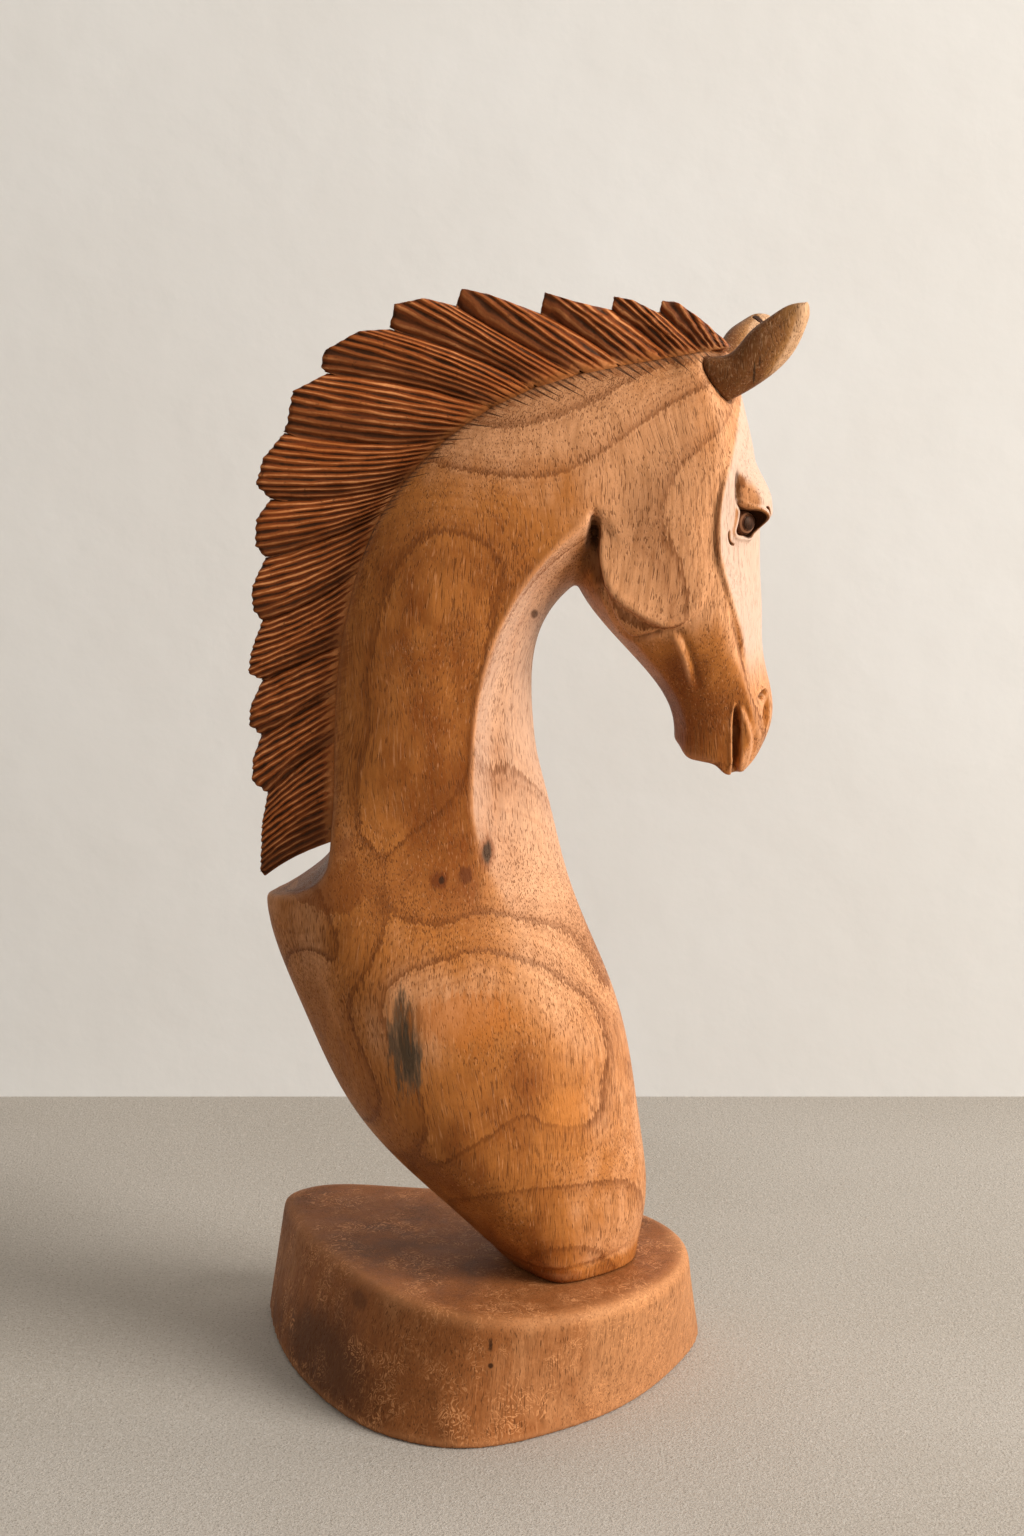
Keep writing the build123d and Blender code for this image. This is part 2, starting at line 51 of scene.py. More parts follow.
EYE_POINT = (0.0142, -1.355, 0.609)
LOOK_DOWN = 11.0  # degrees
WALL_Y = 0.485


def put_in_scene(name, data):
    made = bpy.data.objects.new(name, data)
    bpy.context.scene.collection.objects.link(made)
    return made


def mesh_of(bm, name):
    mesh = bpy.data.meshes.new(name)
    bm.to_mesh(mesh)
    bm.free()
    return mesh


camera = put_in_scene("camera", bpy.data.cameras.new("camera"))
camera.data.lens = 60.0
camera.data.sensor_width = 36.0
camera.location = EYE_POINT
camera.rotation_euler = (math.radians(90 - LOOK_DOWN), 0, 0)
bpy.context.scene.camera = camera


class Signal:
    """One output of a node. Formulas are written with it: each sign beside it places one Math node."""

    def __init__(self, tree, socket):
        self.tree = tree
        self.socket = socket

    def __add__(self, other):
        return calc("ADD", self, other)

    def __radd__(self, other):
        return calc("ADD", other, self)

    def __sub__(self, other):
        return calc("SUBTRACT", self, other)

    def __rsub__(self, other):
        return calc("SUBTRACT", other, self)

    def __mul__(self, other):
        return calc("MULTIPLY", self, other)

    def __truediv__(self, other):
        return calc("DIVIDE", self, other)

    def __pow__(self, other):
        return calc("POWER", self, other)

    def __abs__(self):
        return calc("ABSOLUTE", self)


def fill(node, inputs):
    """Wires a signal to each named input of a node, or sets its plain value."""
    for name, value in inputs.items():
        if isinstance(value, Signal):
            value.tree.links.new(value.socket, node.inputs[name])
        else:
            node.inputs[name].default_value = value


def signal(tree, kind, output, inputs=None, **settings):
    """Puts one node in a tree, sets it, fills its inputs and gives the output of that name or number."""
    made = tree.nodes.new("ShaderNode" + kind)
    for name, value in settings.items():
        setattr(made, name, value)
    fill(made, inputs or {})
    return Signal(tree, made.outputs[output])


def calc(operation, a, b=0.0):
    tree = a.tree if isinstance(a, Signal) else b.tree
    return signal(tree, "Math", 0, {0: a, 1: b}, operation=operation)


def ease(value, low, high):
    """0 below low, 1 above high, and smooth between."""
    inputs = {"Value": value, "From Min": low, "From Max": high}
    return signal(value.tree, "MapRange", "Result", inputs, interpolation_type="SMOOTHSTEP")


def blend(share, a, b):
    """Colour a where share is 0, and b where it is 1. A colour is a signal or three numbers."""
    a, b = ((*colour, 1) if isinstance(colour, tuple) else colour for colour in (a, b))
    return signal(share.tree, "Mix", 2, {0: share, 6: a, 7: b}, data_type="RGBA")


def stretch(vector, scale):
    return signal(vector.tree, "Mapping", "Vector", {"Vector": vector, "Scale": scale})


def cloud(vector, scale, detail=2.0, roughness=0.5, distortion=0.0, output="Fac"):
    inputs = {"Vector": vector, "Scale": scale, "Detail": detail, "Roughness": roughness,
              "Distortion": distortion}
    return signal(vector.tree, "TexNoise", output, inputs)


def dented(height, strength, deep):
    """The normal of a surface with these heights, up to deep metres."""
    return signal(height.tree, "Bump", "Normal", {"Strength": strength, "Distance": deep, "Height": height})


def material(name):
    made = bpy.data.materials.new(name)
    made.use_nodes = True
    return made, made.node_tree, made.node_tree.nodes["Principled BSDF"]


def stage_plane(name, size, location, turn, finish):
    bm = bmesh.new()
    bmesh.ops.create_grid(bm, x_segments=1, y_segments=1, size=size)
    made = put_in_scene(name, mesh_of(bm, name))
    made.location = location
    made.rotation_euler = turn
    made.data.materials.append(finish)


concrete, tree, shader = material("concrete")
where = signal(tree, "TexCoord", "Object")
broad = cloud(where, 3.0, 4.0)
fine = cloud(where, 260.0, 5.0, 0.7)
grit = cloud(where, 700.0, 2.0, 0.6)
tint = blend(ease(broad, 0.3, 0.7), (0.405, 0.355, 0.295), (0.455, 0.405, 0.345))
tint = blend(ease(fine, 0.45, 0.75) * 0.7, tint, (0.54, 0.49, 0.43))
tint = blend(ease(grit, 0.54, 0.68) * 0.9, tint, (0.27, 0.23, 0.185))
shader.inputs["Roughness"].default_value = 0.8
fill(shader, {"Base Color": tint, "Normal": dented(fine + grit, 0.35, 0.002)})
stage_plane("floor", 3.0, (0, -1.5, 0), (0, 0, 0), concrete)

plaster, tree, shader = material("plaster")
where = signal(tree, "TexCoord", "Object")
tint = blend(ease(cloud(where, 2.2, 5.0, 0.6), 0.3, 0.7), (0.665, 0.635, 0.59), (0.7, 0.675, 0.635))
shader.inputs["Roughness"].default_value = 0.9
fill(shader, {"Base Color": tint, "Normal": dented(cloud(where, 25.0, 5.0), 0.25, 0.003)})
# only its room side is seen: from behind, the object shows through
behind = signal(tree, "NewGeometry", "Backfacing") * signal(tree, "LightPath", "Is Camera Ray")
clear = signal(tree, "BsdfTransparent", 0)
either = signal(tree, "MixShader", 0, {0: behind, 1: Signal(tree, shader.outputs[0]), 2: clear})
fill(tree.nodes["Material Output"], {"Surface": either})
stage_plane("wall", 3.0, (0, WALL_Y, 1.5), (math.radians(90), 0, 0), plaster)


# ---------- base
# The slab that the bust stands on: one thick round of the trunk, its rim worn soft, with the bust glued down
# on two dowels and a coach screw from below. Like all the show pieces it is a coarse tropical hardwood under
# rubbed wax, with short dark pore dashes, broad feathered growth rings and a curly figure.

def effect(name, gives, **takes):
    """A shader group with named inputs and outputs: the group, its inputs as signals, and its last node."""
    made = bpy.data.node_groups.new(name, "ShaderNodeTree")
    for socket, kind in takes.items():
        made.interface.new_socket(socket, in_out="INPUT", socket_type="NodeSocket" + kind)
    for socket in gives:
        made.interface.new_socket(socket, in_out="OUTPUT", socket_type="NodeSocketFloat")
    given = made.nodes.new("NodeGroupInput").outputs
    return made, {socket: Signal(made, given[socket]) for socket in takes}, made.nodes.new("NodeGroupOutput")


def use(group, **inputs):
    """Places a shader group in a material and gives its outputs."""
    tree = inputs["Place"].tree
    placed = tree.nodes.new("ShaderNodeGroup")
    placed.node_tree = group
    fill(placed, inputs)
    return {socket.name: Signal(tree, socket) for socket in placed.outputs}


def fraction(value):
    return calc("FRACT", value)


def vector_math(operation, a, b, output=0):
    return signal(a.tree, "VectorMath", output, {0: a, 1: b}, operation=operation)


# pore dashes: how dark each point is with open vessels, and the fine lengthwise fibre
pores_group, given, result = effect("pore_dashes", ("Dashes", "Fibre", "Glints"),
                                    Place="Vector", Amount="Float")
sway = vector_math("SUBTRACT", cloud(given["Place"], 9.0, 1.0, output="Color"), (0.5, 0.5, 0.5))
bent = vector_math("ADD", given["Place"], vector_math("MULTIPLY", sway, (0.035, 0.035, 0.035)))
vessel = cloud(stretch(bent, (1800, 1800, 140)), 1.0, 0.6)
patch = cloud(stretch(bent, (45, 45, 14)), 1.0, 2.0)
level = 0.722 - given["Amount"] * (patch * 0.24)
dash = ease(vessel - level, -0.02, 0.07)
fibre = cloud(stretch(bent, (420, 420, 20)), 1.0, 3.0, 0.6)
glint = ease(cloud(stretch(bent, (1100, 1100, 80)), 1.0, 1.0), 0.6, 0.76)
fill(result, {"Dashes": dash, "Fibre": fibre, "Glints": glint})

# growth rings: a dark late-wood line wherever Ring passes a whole number, feathered into dashes on one side
rings_group, given, result = effect("growth_rings", ("Line", "Shade", "Faint"),
                                    Place="Vector", Ring="Float", Slope="Float")
drift = cloud(given["Place"], 28.0, 3.0, 0.55)
ragged = cloud(stretch(given["Place"], (900, 900, 130)), 1.0, 1.5)
ring = given["Ring"] + (drift - 0.5) * 0.13
signed = fraction(ring + 0.5) - 0.5
off = signed / given["Slope"] + (ragged - 0.5) * 4.5
inner = 1.0 - ease(off, 0.0, 0.6)
line = ease(off, -2.2, -0.5) * inner
strength = ease(cloud(given["Place"], 14.0, 1.0), 0.22, 0.55)
line *= 0.45 + strength * 0.55
wide = ease(off, -9.0, 0.0) * inner
between = abs(fraction(ring * 5.0) - 0.5) / (given["Slope"] * 5.0) + (ragged - 0.5) * 2.5
faint = (1.0 - ease(between, 0.1, 0.8)) * strength
fill(result, {"Line": line, "Shade": wide, "Faint": faint})

# curly figure: fine pale squiggles where the scraper caught the turning grain
curly_group, given, result = effect("curly_figure", ("Squiggles",), Place="Vector")
whorl = abs(fraction(cloud(given["Place"], 120.0, 2.0, distortion=1.4) * 6.0) - 0.5)
figured = ease(cloud(given["Place"], 42.0, 3.0, 0.6), 0.42, 0.62)
fill(result, {"Squiggles": (1.0 - ease(whorl, 0.03, 0.2)) * figured})

# one knot or stain: a soft-edged, ragged oval
spot_group, given, result = effect("spot", ("Mask",),
                                   Place="Vector", Middle="Vector", Reach="Vector", Ragged="Float")
apart = vector_math("DIVIDE", vector_math("SUBTRACT", given["Place"], given["Middle"]), given["Reach"])
apart = vector_math("LENGTH", apart, (0.0, 0.0, 0.0), "Value")
torn = cloud(stretch(given["Place"], (420, 420, 60)), 1.0, 3.0, 0.65)
torn = (torn - 0.5) * given["Ragged"]
fill(result, {"Mask": 1.0 - ease(apart + torn, 0.55, 1.15)})


def read(tree, name):
    return signal(tree, "Attribute", "Fac", attribute_name=name, attribute_type="GEOMETRY")


def strokes(tree, where):
    """The gouge's tapering run-out cuts beside the mane, and the stain that lies round them."""
    hair, off = read(tree, "hair"), read(tree, "hair_off")
    near = fraction(hair + 0.5) - 0.5
    number = calc("FLOOR", hair + 0.5)
    chance = signal(tree, "TexWhiteNoise", "Value", {"W": number}, noise_dimensions="1D")
    length = (3.0 + chance ** 2.0 * 15.0) * (read(tree, "hair_reach") + 0.02)
    keep = 1.0 - off / length
    breadth = calc("MAXIMUM", keep, 0.001) * 0.32
    stroke = 1.0 - ease(abs(near) / breadth, 0.5, 1.0)
    stroke *= ease(read(tree, "hair_reach"), 0.0, 0.1)
    along = signal(tree, "CombineXYZ", 0, {"X": hair * 2.2, "Y": off * 0.035})
    ragged = (cloud(where, 150.0, 4.0, 0.65) + cloud(along, 1.0, 2.0, 0.6) - 1.0) * 26.0
    halo = 1.0 - ease(off + ragged, -1.0, 7.0)
    return stroke, halo


def lit(colour, times):
    return tuple(min(1.0, part * times) for part in colour)


def wood(name, deep, mid, light, pores=1.0, spots=(), rings=False, toned=False, run_outs=False,
         worn=0.35, gloss=0.46, curly=0.05, shine=0.38):
    """One finish of the timber: its three tones, how open its pores are, and the knots and stains it has."""
    made, tree, shader = material(name)
    shader.inputs["Specular Tint"].default_value = (1.0, 0.68, 0.40, 1)
    where = signal(tree, "TexCoord", "Object")
    broad = cloud(stretch(where, (16, 16, 9)), 1.0, 3.0, 0.55)
    curl = cloud(stretch(where, (90, 90, 45)), 1.0, 4.0, 0.62)
    if rings:
        ring = use(rings_group, Place=where, Ring=read(tree, "ring"), Slope=read(tree, "ring_slope"))
        pores += ring["Shade"] * 0.3
    grain = use(pores_group, Place=where, Amount=pores)
    tone = broad * 0.75 + curl * 0.25
    if toned or rings:
        tone += (read(tree, "tone") - 0.5) * 0.75
    tint = blend(ease(tone, 0.3, 0.52), deep, mid)
    tint = blend(ease(tone, 0.5, 0.74), tint, light)
    fleck = cloud(stretch(where, (900, 900, 380)), 1.0, 3.0, 0.7)
    tint = blend(ease(fleck, 0.52, 0.72) * 0.3, tint, mid if rings else light)
    tint = blend(ease(fleck, 0.5, 0.28) * 0.4, tint, deep)
    tint = blend(ease(grain["Fibre"], 0.35, 0.7) * 0.42, tint, lit(mid, 0.55))
    pale = lit(light, 1.3)
    tint = blend(grain["Glints"] * 0.3, tint, pale)
    tint = blend(use(curly_group, Place=where)["Squiggles"] * curly, tint, pale)
    dark = grain["Dashes"] * 0.62
    if rings:
        # painted highlight: where the bust has its pale tone (partly paler wood, partly painted glare from
        # the window) the wood turns pale and its dashes and ring lines fade
        clear_of_glare = 1.0 - ease(read(tree, "pale"), 0.05, 0.6) * 0.85
        dark *= 0.4 + clear_of_glare * 0.6
        tint = blend(read(tree, "pale"), tint, (0.6, 0.455, 0.365))
        tint = blend(ring["Shade"] * 0.26 * clear_of_glare, tint, deep)
        tint = blend(ring["Faint"] * 0.22 * clear_of_glare, tint, deep)
        tint = blend(ring["Line"] * 0.62 * clear_of_glare, tint, lit(deep, 0.7))
    tint = blend(dark, tint, lit(deep, 0.48))
    for middle, reach, colour, share, ragged in spots:
        mask = use(spot_group, Place=where, Middle=middle, Reach=reach, Ragged=ragged)["Mask"]
        tint = blend(mask * share, tint, colour)
    stroke = None
    if run_outs:
        stroke, halo = strokes(tree, where)
        tint = blend(halo * 0.62, tint, deep)
        tint = blend(stroke * 0.92, tint, (0.045, 0.011, 0.004))
    hollow = read(tree, "hollow")
    # painted shade: the wood darkens in hollows and turns near black in deep ones; rubbed ridges turn paler
    # with wear
    tint = blend(ease(hollow, 0.1, 1.1) * 0.72, tint, lit(deep, 0.28))
    tint = blend(ease(hollow * -1.0, 0.1, 0.9) * worn, tint, lit(light, 1.25))
    tint = blend(ease(hollow, 1.6, 3.2) * 0.92, tint, (0.016, 0.006, 0.003))
    rub = gloss + (curl - 0.5) * 0.28 + grain["Dashes"] * 0.25
    # no light glances off the bottom of a deep hollow
    glance = (1.0 - ease(hollow, 1.2, 3.0)) * shine
    tooled = cloud(stretch(where, (55, 55, 40)), 1.0, 1.0)
    height = tooled * 0.9 - grain["Dashes"] + grain["Fibre"] * 0.35 + curl * 0.3
    if run_outs:
        height -= stroke * 1.6
    fill(shader, {"Base Color": tint, "Roughness": rub, "Specular IOR Level": glance,
                  "Normal": dented(height, 0.55, 0.0006)})
    return made


def listed(items, name, width, kind=float):
    """One property of all a mesh's parts, as rows of width numbers."""
    flat = np.empty(len(items) * width, kind)
    items.foreach_get(name, flat)
    return flat.reshape(-1, width)


def points_of(piece):
    """A piece's vertices in millimetres, with z counted from the base's top."""
    return listed(piece.data.vertices, "co", 3) * 1000 - (0, 0, BASE_TOP)


def set_points(piece, points):
    piece.data.vertices.foreach_set("co", ((points + (0, 0, BASE_TOP)) / 1000).ravel())
    piece.data.update()


def normals_of(piece):
    return listed(piece.data.vertex_normals, "vector", 3)


def edges_of(piece):
    return listed(piece.data.edges, "vertices", 2, int)


def relax(points, edges, share, rounds):
    """Rubs the surface down: each point moves towards the middle of its neighbours."""
    points = points.copy()
    start, end = edges.T
    many = np.bincount(edges.ravel(), minlength=len(points))
    for _ in range(rounds):
        for axis in range(points.shape[1]):
            line = points[:, axis]
            total = np.bincount(start, line[end], len(line)) + np.bincount(end, line[start], len(line))
            points[:, axis] = line + share * (total / many - line)
    return points


def set_attribute(piece, name, values):
    layer = piece.data.attributes.new(name, "FLOAT", "POINT")
    layer.data.foreach_set("value", np.asarray(values, np.float32))


def mark_hollows(piece, rounds=10):
    """Keeps how far each point lies below (+) or above (-) the rubbed-down surface, in millimetres."""
    points, edges = points_of(piece), edges_of(piece)
    low = ((relax(points, edges, 0.6, rounds) - points) * normals_of(piece)).sum(1)
    set_attribute(piece, "hollow", relax(low[:, None], edges, 0.5, 2)[:, 0])


def blank_from(node, name, voxel, lumps=()):
    """A closed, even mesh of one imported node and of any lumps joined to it, ready to be carved."""
    piece = put_in_scene(name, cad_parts[node].data.copy())
    piece.data.materials.clear()
    bm = bmesh.new()
    bm.from_mesh(piece.data)
    bmesh.ops.remove_doubles(bm, verts=bm.verts, dist=0.00001)
    for lump in lumps:
        bm.from_mesh(lump)
    bm.to_mesh(piece.data)
    bm.free()
    remesh = piece.modifiers.new("remesh", "REMESH")
    remesh.mode = "VOXEL"
    remesh.voxel_size = voxel
    finish_modifiers(piece)
    return piece


def finish_modifiers(piece):
    graph = bpy.context.evaluated_depsgraph_get()
    made = bpy.data.meshes.new_from_object(piece.evaluated_get(graph))
    piece.modifiers.clear()
    piece.data = made
    made.shade_smooth()


def line_through(corners, rounds=2):
    """The corners of a drawn line, rounded off."""
    line = np.array(corners, float)
    for _ in range(rounds):
        cut = np.empty((2 * len(line) - 2, line.shape[1]))
        cut[0::2] = 0.75 * line[:-1] + 0.25 * line[1:]
        cut[1::2] = 0.25 * line[:-1] + 0.75 * line[1:]
        line = np.vstack([line[:1], cut, line[-1:]])
    return line


def to_line(places, line):
    """Each place's distance to a line, its share of the way along, and +1 to the left or -1 to the right."""
    best = np.full(len(places), 1e9)
    along = np.zeros(len(places))
    side = np.ones(len(places))
    steps = np.diff(line, axis=0)
    lengths = np.hypot(steps[:, 0], steps[:, 1])
    run = 0.0
    for start, step, length in zip(line[:-1], steps / lengths[:, None], lengths):
        away = places - start
        t = np.clip(away @ step, 0, length)
        across = away - t[:, None] * step
        apart = np.hypot(across[:, 0], across[:, 1])
        closer = apart < best
        best[closer] = apart[closer]
        along[closer] = (run + t[closer]) / lengths.sum()
        side[closer] = np.sign(step[0] * away[closer, 1] - step[1] * away[closer, 0])
        run += length
    return best, along, side


def smooth(value, low, high):
    t = np.clip((value - low) / (high - low), 0, 1)
    return t * t * (3 - 2 * t)


BASE_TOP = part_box("base")[1].z * 1000


# its knots and stains, and one patch of painted shade: middle, reach, colour, strength and raggedness
base_wood = wood("base_wood", (0.125, 0.036, 0.010), (0.300, 0.096, 0.026), (0.48, 0.205, 0.080),
                 pores=0.7, toned=True, worn=0.30, curly=0.85, shine=0.28, gloss=0.55, spots=(
    ((-0.070, -0.044, 0.058), (0.006, 0.02, 0.006), (0.10, 0.030, 0.010), 0.6, 0.4),
    ((0.003, -0.094, 0.044), (0.0016, 0.01, 0.0016), (0.02, 0.006, 0.003), 0.9, 0.3),
    ((0.003, -0.094, 0.055), (0.0012, 0.01, 0.004), (0.02, 0.006, 0.003), 0.8, 0.5),
    # painted shade: a broad dark patch at the left end, near the floor
    ((-0.095, -0.03, 0.020), (0.035, 0.05, 0.020), (0.10, 0.036, 0.014), 0.55, 1.2),
))
base = blank_from("base", "base_slab", 0.002)
points = relax(points_of(base), edges_of(base), 0.5, 2)
set_points(base, points)
facing = normals_of(base)
# the tone: a little darker on the top faces, painted shade at the left end near the floor, away from the
# window, and painted light on the faces towards the window
facing_up = smooth(facing[:, 2], 0.75, 0.97)
low = np.exp(-((points[:, 0] + 95) / 40) ** 2 - ((points[:, 2] + 55) / 24) ** 2)
tone = 0.55 - 0.07 * facing_up - 0.34 * low + 0.3 * smooth(facing[:, 0], 0.3, 0.9)
set_attribute(base, "tone", np.clip(tone, 0, 1))
mark_hollows(base, 14)
base.data.materials.append(base_wood)
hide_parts("base")
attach(base, "root")


# ---------- bust
# The head, neck and chest, carved from one block: flat cheeks with a rolled rim, a crisp edge down the front
# of the neck and along the face, deep-set eyes under heavy lids, and parted lips.

bust_wood = wood("bust_wood", (0.195, 0.045, 0.006), (0.43, 0.143, 0.029), (0.63, 0.290, 0.130),
                 pores=0.9, rings=True, run_outs=True, spots=(
    ((0.001, -0.036, 0.307), (0.0048, 0.02, 0.0105), (0.19, 0.050, 0.014), 0.80, 0.8),
    ((0.001, -0.036, 0.307), (0.0030, 0.02, 0.0068), (0.018, 0.005, 0.003), 0.95, 0.8),
    ((-0.024, -0.044, 0.294), (0.0046, 0.02, 0.0054), (0.130, 0.026, 0.004), 0.90, 1.6),
    ((-0.010, -0.041, 0.296), (0.0044, 0.02, 0.0050), (0.110, 0.022, 0.004), 0.90, 1.6),
    ((-0.023, -0.044, 0.294), (0.0018, 0.02, 0.0022), (0.018, 0.005, 0.003), 0.85, 1.2),
    ((-0.091, -0.030, 0.288), (0.0035, 0.03, 0.0030), (0.10, 0.030, 0.010), 0.7, 0.8),
    ((-0.042, -0.058, 0.208), (0.0100, 0.03, 0.031), (0.080, 0.058, 0.038), 0.85, 2.2),
    ((-0.041, -0.058, 0.211), (0.0055, 0.03, 0.022), (0.030, 0.022, 0.014), 0.75, 2.6),
    ((-0.013, -0.060, 0.222), (0.0300, 0.05, 0.017), (0.46, 0.130, 0.018), 0.50, 1.8),
    ((0.042, -0.040, 0.169), (0.0140, 0.05, 0.013), (0.52, 0.170, 0.030), 0.50, 1.5),
    ((0.026, -0.021, 0.432), (0.0022, 0.02, 0.0030), (0.05, 0.016, 0.006), 0.8, 0.5),
))

# the lines that the gouge follows, as (x, z) on the side, from their start to their end
CHEEK_BACK = [(60, 421), (60, 410), (59, 400), (60, 388), (63, 379)]
NECK_EDGE = [(60, 419), (49, 411), (39, 402), (29, 392), (20, 381), (13, 369), (6, 355), (1, 341), (-3, 326),
             (-6, 308), (-6.5, 292), (-7, 274), (-7, 256), (-6, 240)]
CHEEK_RIM = [(60, 392), (63, 379), (70, 371), (79, 364.5), (87, 360), (94, 358), (103, 361), (110, 367.5),
             (115, 375), (118, 384)]
JAW_CREASE = [(61, 380), (65, 366), (71, 355), (77, 350), (84, 353), (94, 357)]
JAW_MUSCLE = [(96, 357), (101, 350), (105, 340), (107.5, 329), (109, 318)]
FACE_EDGE = [(131, 462), (128.5, 450), (124.5, 436), (121.8, 424), (120.8, 413), (120.6, 404), (121.6, 395),
             (124, 385), (127, 377), (130.9, 364), (134.3, 354), (136.5, 342), (138, 330)]
FACE_VALLEY = [(117, 440), (114, 420), (114, 403), (116, 388), (120, 373), (126, 356), (132, 340), (135, 328)]
MOUTH_LINE = [(133, 319), (132.4, 309), (132.6, 296), (133.5, 285), (133, 276)]
LIP_BEAD = [(131.5, 318), (130.6, 309), (130.4, 296), (131, 286), (129.5, 278)]
LIP_FOLD = [(134, 316), (138.5, 306), (141, 296), (141, 286), (139, 278)]
FOOT_CREASE = [(-16, 18), (0, 13), (30, 9), (60, 10), (84, 15)]
NOSTRIL_RIM = [(143, 317), (146, 322), (151, 322.5), (154.5, 317), (154.5, 308), (152, 300), (148, 295)]

# the slanting plane of the face that the right eye is set in: along it to the front, up, and out of it
EYE_MIDDLE = np.array((133.5, 23.0, 411.0))
EYE_ALONG = np.array((0.636, -0.772, 0.0))
EYE_OUT = np.array((0.772, 0.636, 0.0))
EYE_OPENING = [(-4.5, 10.5), (-1.5, 7.9), (2.7, 6.4), (5.3, 4.9), (7.6, 2.6), (9.4, 0), (9.8, -3.2),
               (6.3, -7.8), (1.6, -6.7), (-3.8, -6.2), (-6.3, -4), (-5.2, -1), (-4.4, 4), (-4.5, 10.5)]
OUTER_CREASE = [(7, 8.6), (11.4, 7.2), (12.9, 3), (13.4, -1)]
INNER_CREASE = [(-11, -2.5), (-11.5, -6.5), (-9.6, -10), (-5.5, -11.3)]


def lump(middle, radii):
    """A rounded piece of wood, to be joined to a blank before it is carved."""
    x, y, z = middle
    bm = bmesh.new()
    bmesh.ops.create_icosphere(bm, subdivisions=4, radius=1)
    bmesh.ops.scale(bm, vec=[r / 1000 for r in radii], verts=bm.verts)
    bmesh.ops.translate(bm, vec=(x / 1000, y / 1000, (z + BASE_TOP) / 1000), verts=bm.verts)
    return mesh_of(bm, "lump")


EYE_LUMP = ((133.0, 20.5, 411), (9.5, 9.5, 9.5))
LIP_LUMP = ((134.6, 14.5, 297), (4.2, 8.2, 20))
lumps = [lump((x, side * y, z), radii) for side in (-1, 1) for (x, y, z), radii in (EYE_LUMP, LIP_LUMP)]
bust = blank_from("bust", "bust_carved", 0.0015, lumps)


def subdivide_where(piece, wanted):
    """Halves the mesh's faces wherever wanted(their middles) is true."""
    chosen = np.nonzero(wanted(listed(piece.data.polygons, "center", 3) * 1000 - (0, 0, BASE_TOP)))[0]
    bm = bmesh.new()
    bm.from_mesh(piece.data)
    bm.faces.ensure_lookup_table()
    lines = {edge for number in chosen for edge in bm.faces[number].edges}
    bmesh.ops.subdivide_edges(bm, edges=list(lines), cuts=1, use_grid_fill=True)
    bm.to_mesh(piece.data)
    bm.free()
    piece.data.shade_smooth()


def fine_places(p):
    x, y, z = p[:, 0], np.abs(p[:, 1]), p[:, 2]
    eyes = (x > 119) & (y > 6) & (z > 395) & (z < 432)
    mouth = (x > 124) & (z > 270) & (z < 326)
    jaw = (x > 60) & (x < 97) & (y > 12) & (z > 346) & (z < 382)
    return eyes | mouth | jaw


def round_the_eyes(p):
    return (p[:, 0] > 119) & (np.abs(p[:, 1]) > 8) & (p[:, 2] > 396) & (p[:, 2] < 425)


subdivide_where(bust, fine_places)
subdivide_where(bust, round_the_eyes)
points = points_of(bust)
edges = edges_of(bust)

# rub out the saw lines of the block, but leave the crisp edges
flat = points[:, [0, 2]]
out = np.abs(points[:, 1])
keep = np.zeros(len(points))
for line, reach in ((CHEEK_BACK, 5), (NECK_EDGE, 4), (CHEEK_RIM, 4), (FACE_EDGE, 3.5)):
    near = to_line(flat, line_through(line, 1))[0]
    keep = np.maximum(keep, 1 - smooth(near, 0.4 * reach, reach))
cheeks = smooth(out, 24, 30) * smooth(points[:, 0], -10, 30) * smooth(points[:, 2], 356, 372) * (1 - keep)
points = relax(points, edges, 0.6 * cheeks, 70)
points = relax(points, edges, 0.5 * (1 - keep), 5)
points = relax(points, edges, 0.35, 2)

# the eyes: brow, lids and sockets, shaped in the slanting plane of the face
mirror = np.where(points[:, 1] < 0, -1.0, 1.0)
local = np.stack([points[:, 0], np.abs(points[:, 1]), points[:, 2]], -1) - EYE_MIDDLE
a, b, h = local @ EYE_ALONG, local[:, 2], local @ EYE_OUT
face = (smooth(a, -14, -10) * (1 - smooth(a, 19, 24)) * smooth(b, -15, -10) * (1 - smooth(b, 33, 41))
        * (h > -14) * (points[:, 0] > 110))
near = face > 0
right, up = a[near], b[near]
# the plain face that the brow and the lids rise from, found from the wood all round them
rim = (face[near] < 0.75) & ((up < -8) | (up > 34) | (right < -9)) & (h[near] > -6)
terms = np.stack([right ** i * up ** j for i in range(4) for j in range(3)], -1)
plain = terms @ np.linalg.lstsq(terms[rim], h[near][rim], rcond=None)[0]
spot = np.stack([right, up], -1)
opening = line_through(EYE_OPENING, 2)
after = np.roll(opening, -1, 0)
rise = after[:, 1] - opening[:, 1] + 1e-9
crossed = (opening[:, 1] > up[:, None]) != (after[:, 1] > up[:, None])
meets = opening[:, 0] + (after[:, 0] - opening[:, 0]) * (up[:, None] - opening[:, 1]) / rise
crossed &= right[:, None] < meets
around = to_line(spot, opening)[0] * np.where(crossed.sum(1) % 2 == 1, -1.0, 1.0)
brow = 10.5 * np.exp(-(np.abs(right - 14) / np.where(right < 14, 14.5, 8)) ** 4)
brow *= (1 - smooth(up, 10, 36)) * smooth(up, -7, 5)
temple = -2.4 * np.exp(-((right + 4.8) / 2.1) ** 2) * smooth(up, 6, 12) * (1 - smooth(up, 20, 31))
lid = np.exp(-((around - 1.5) / 1.3) ** 2) * (1.1 + 0.9 * smooth(right, 3, 8))
crease = np.zeros(len(right))
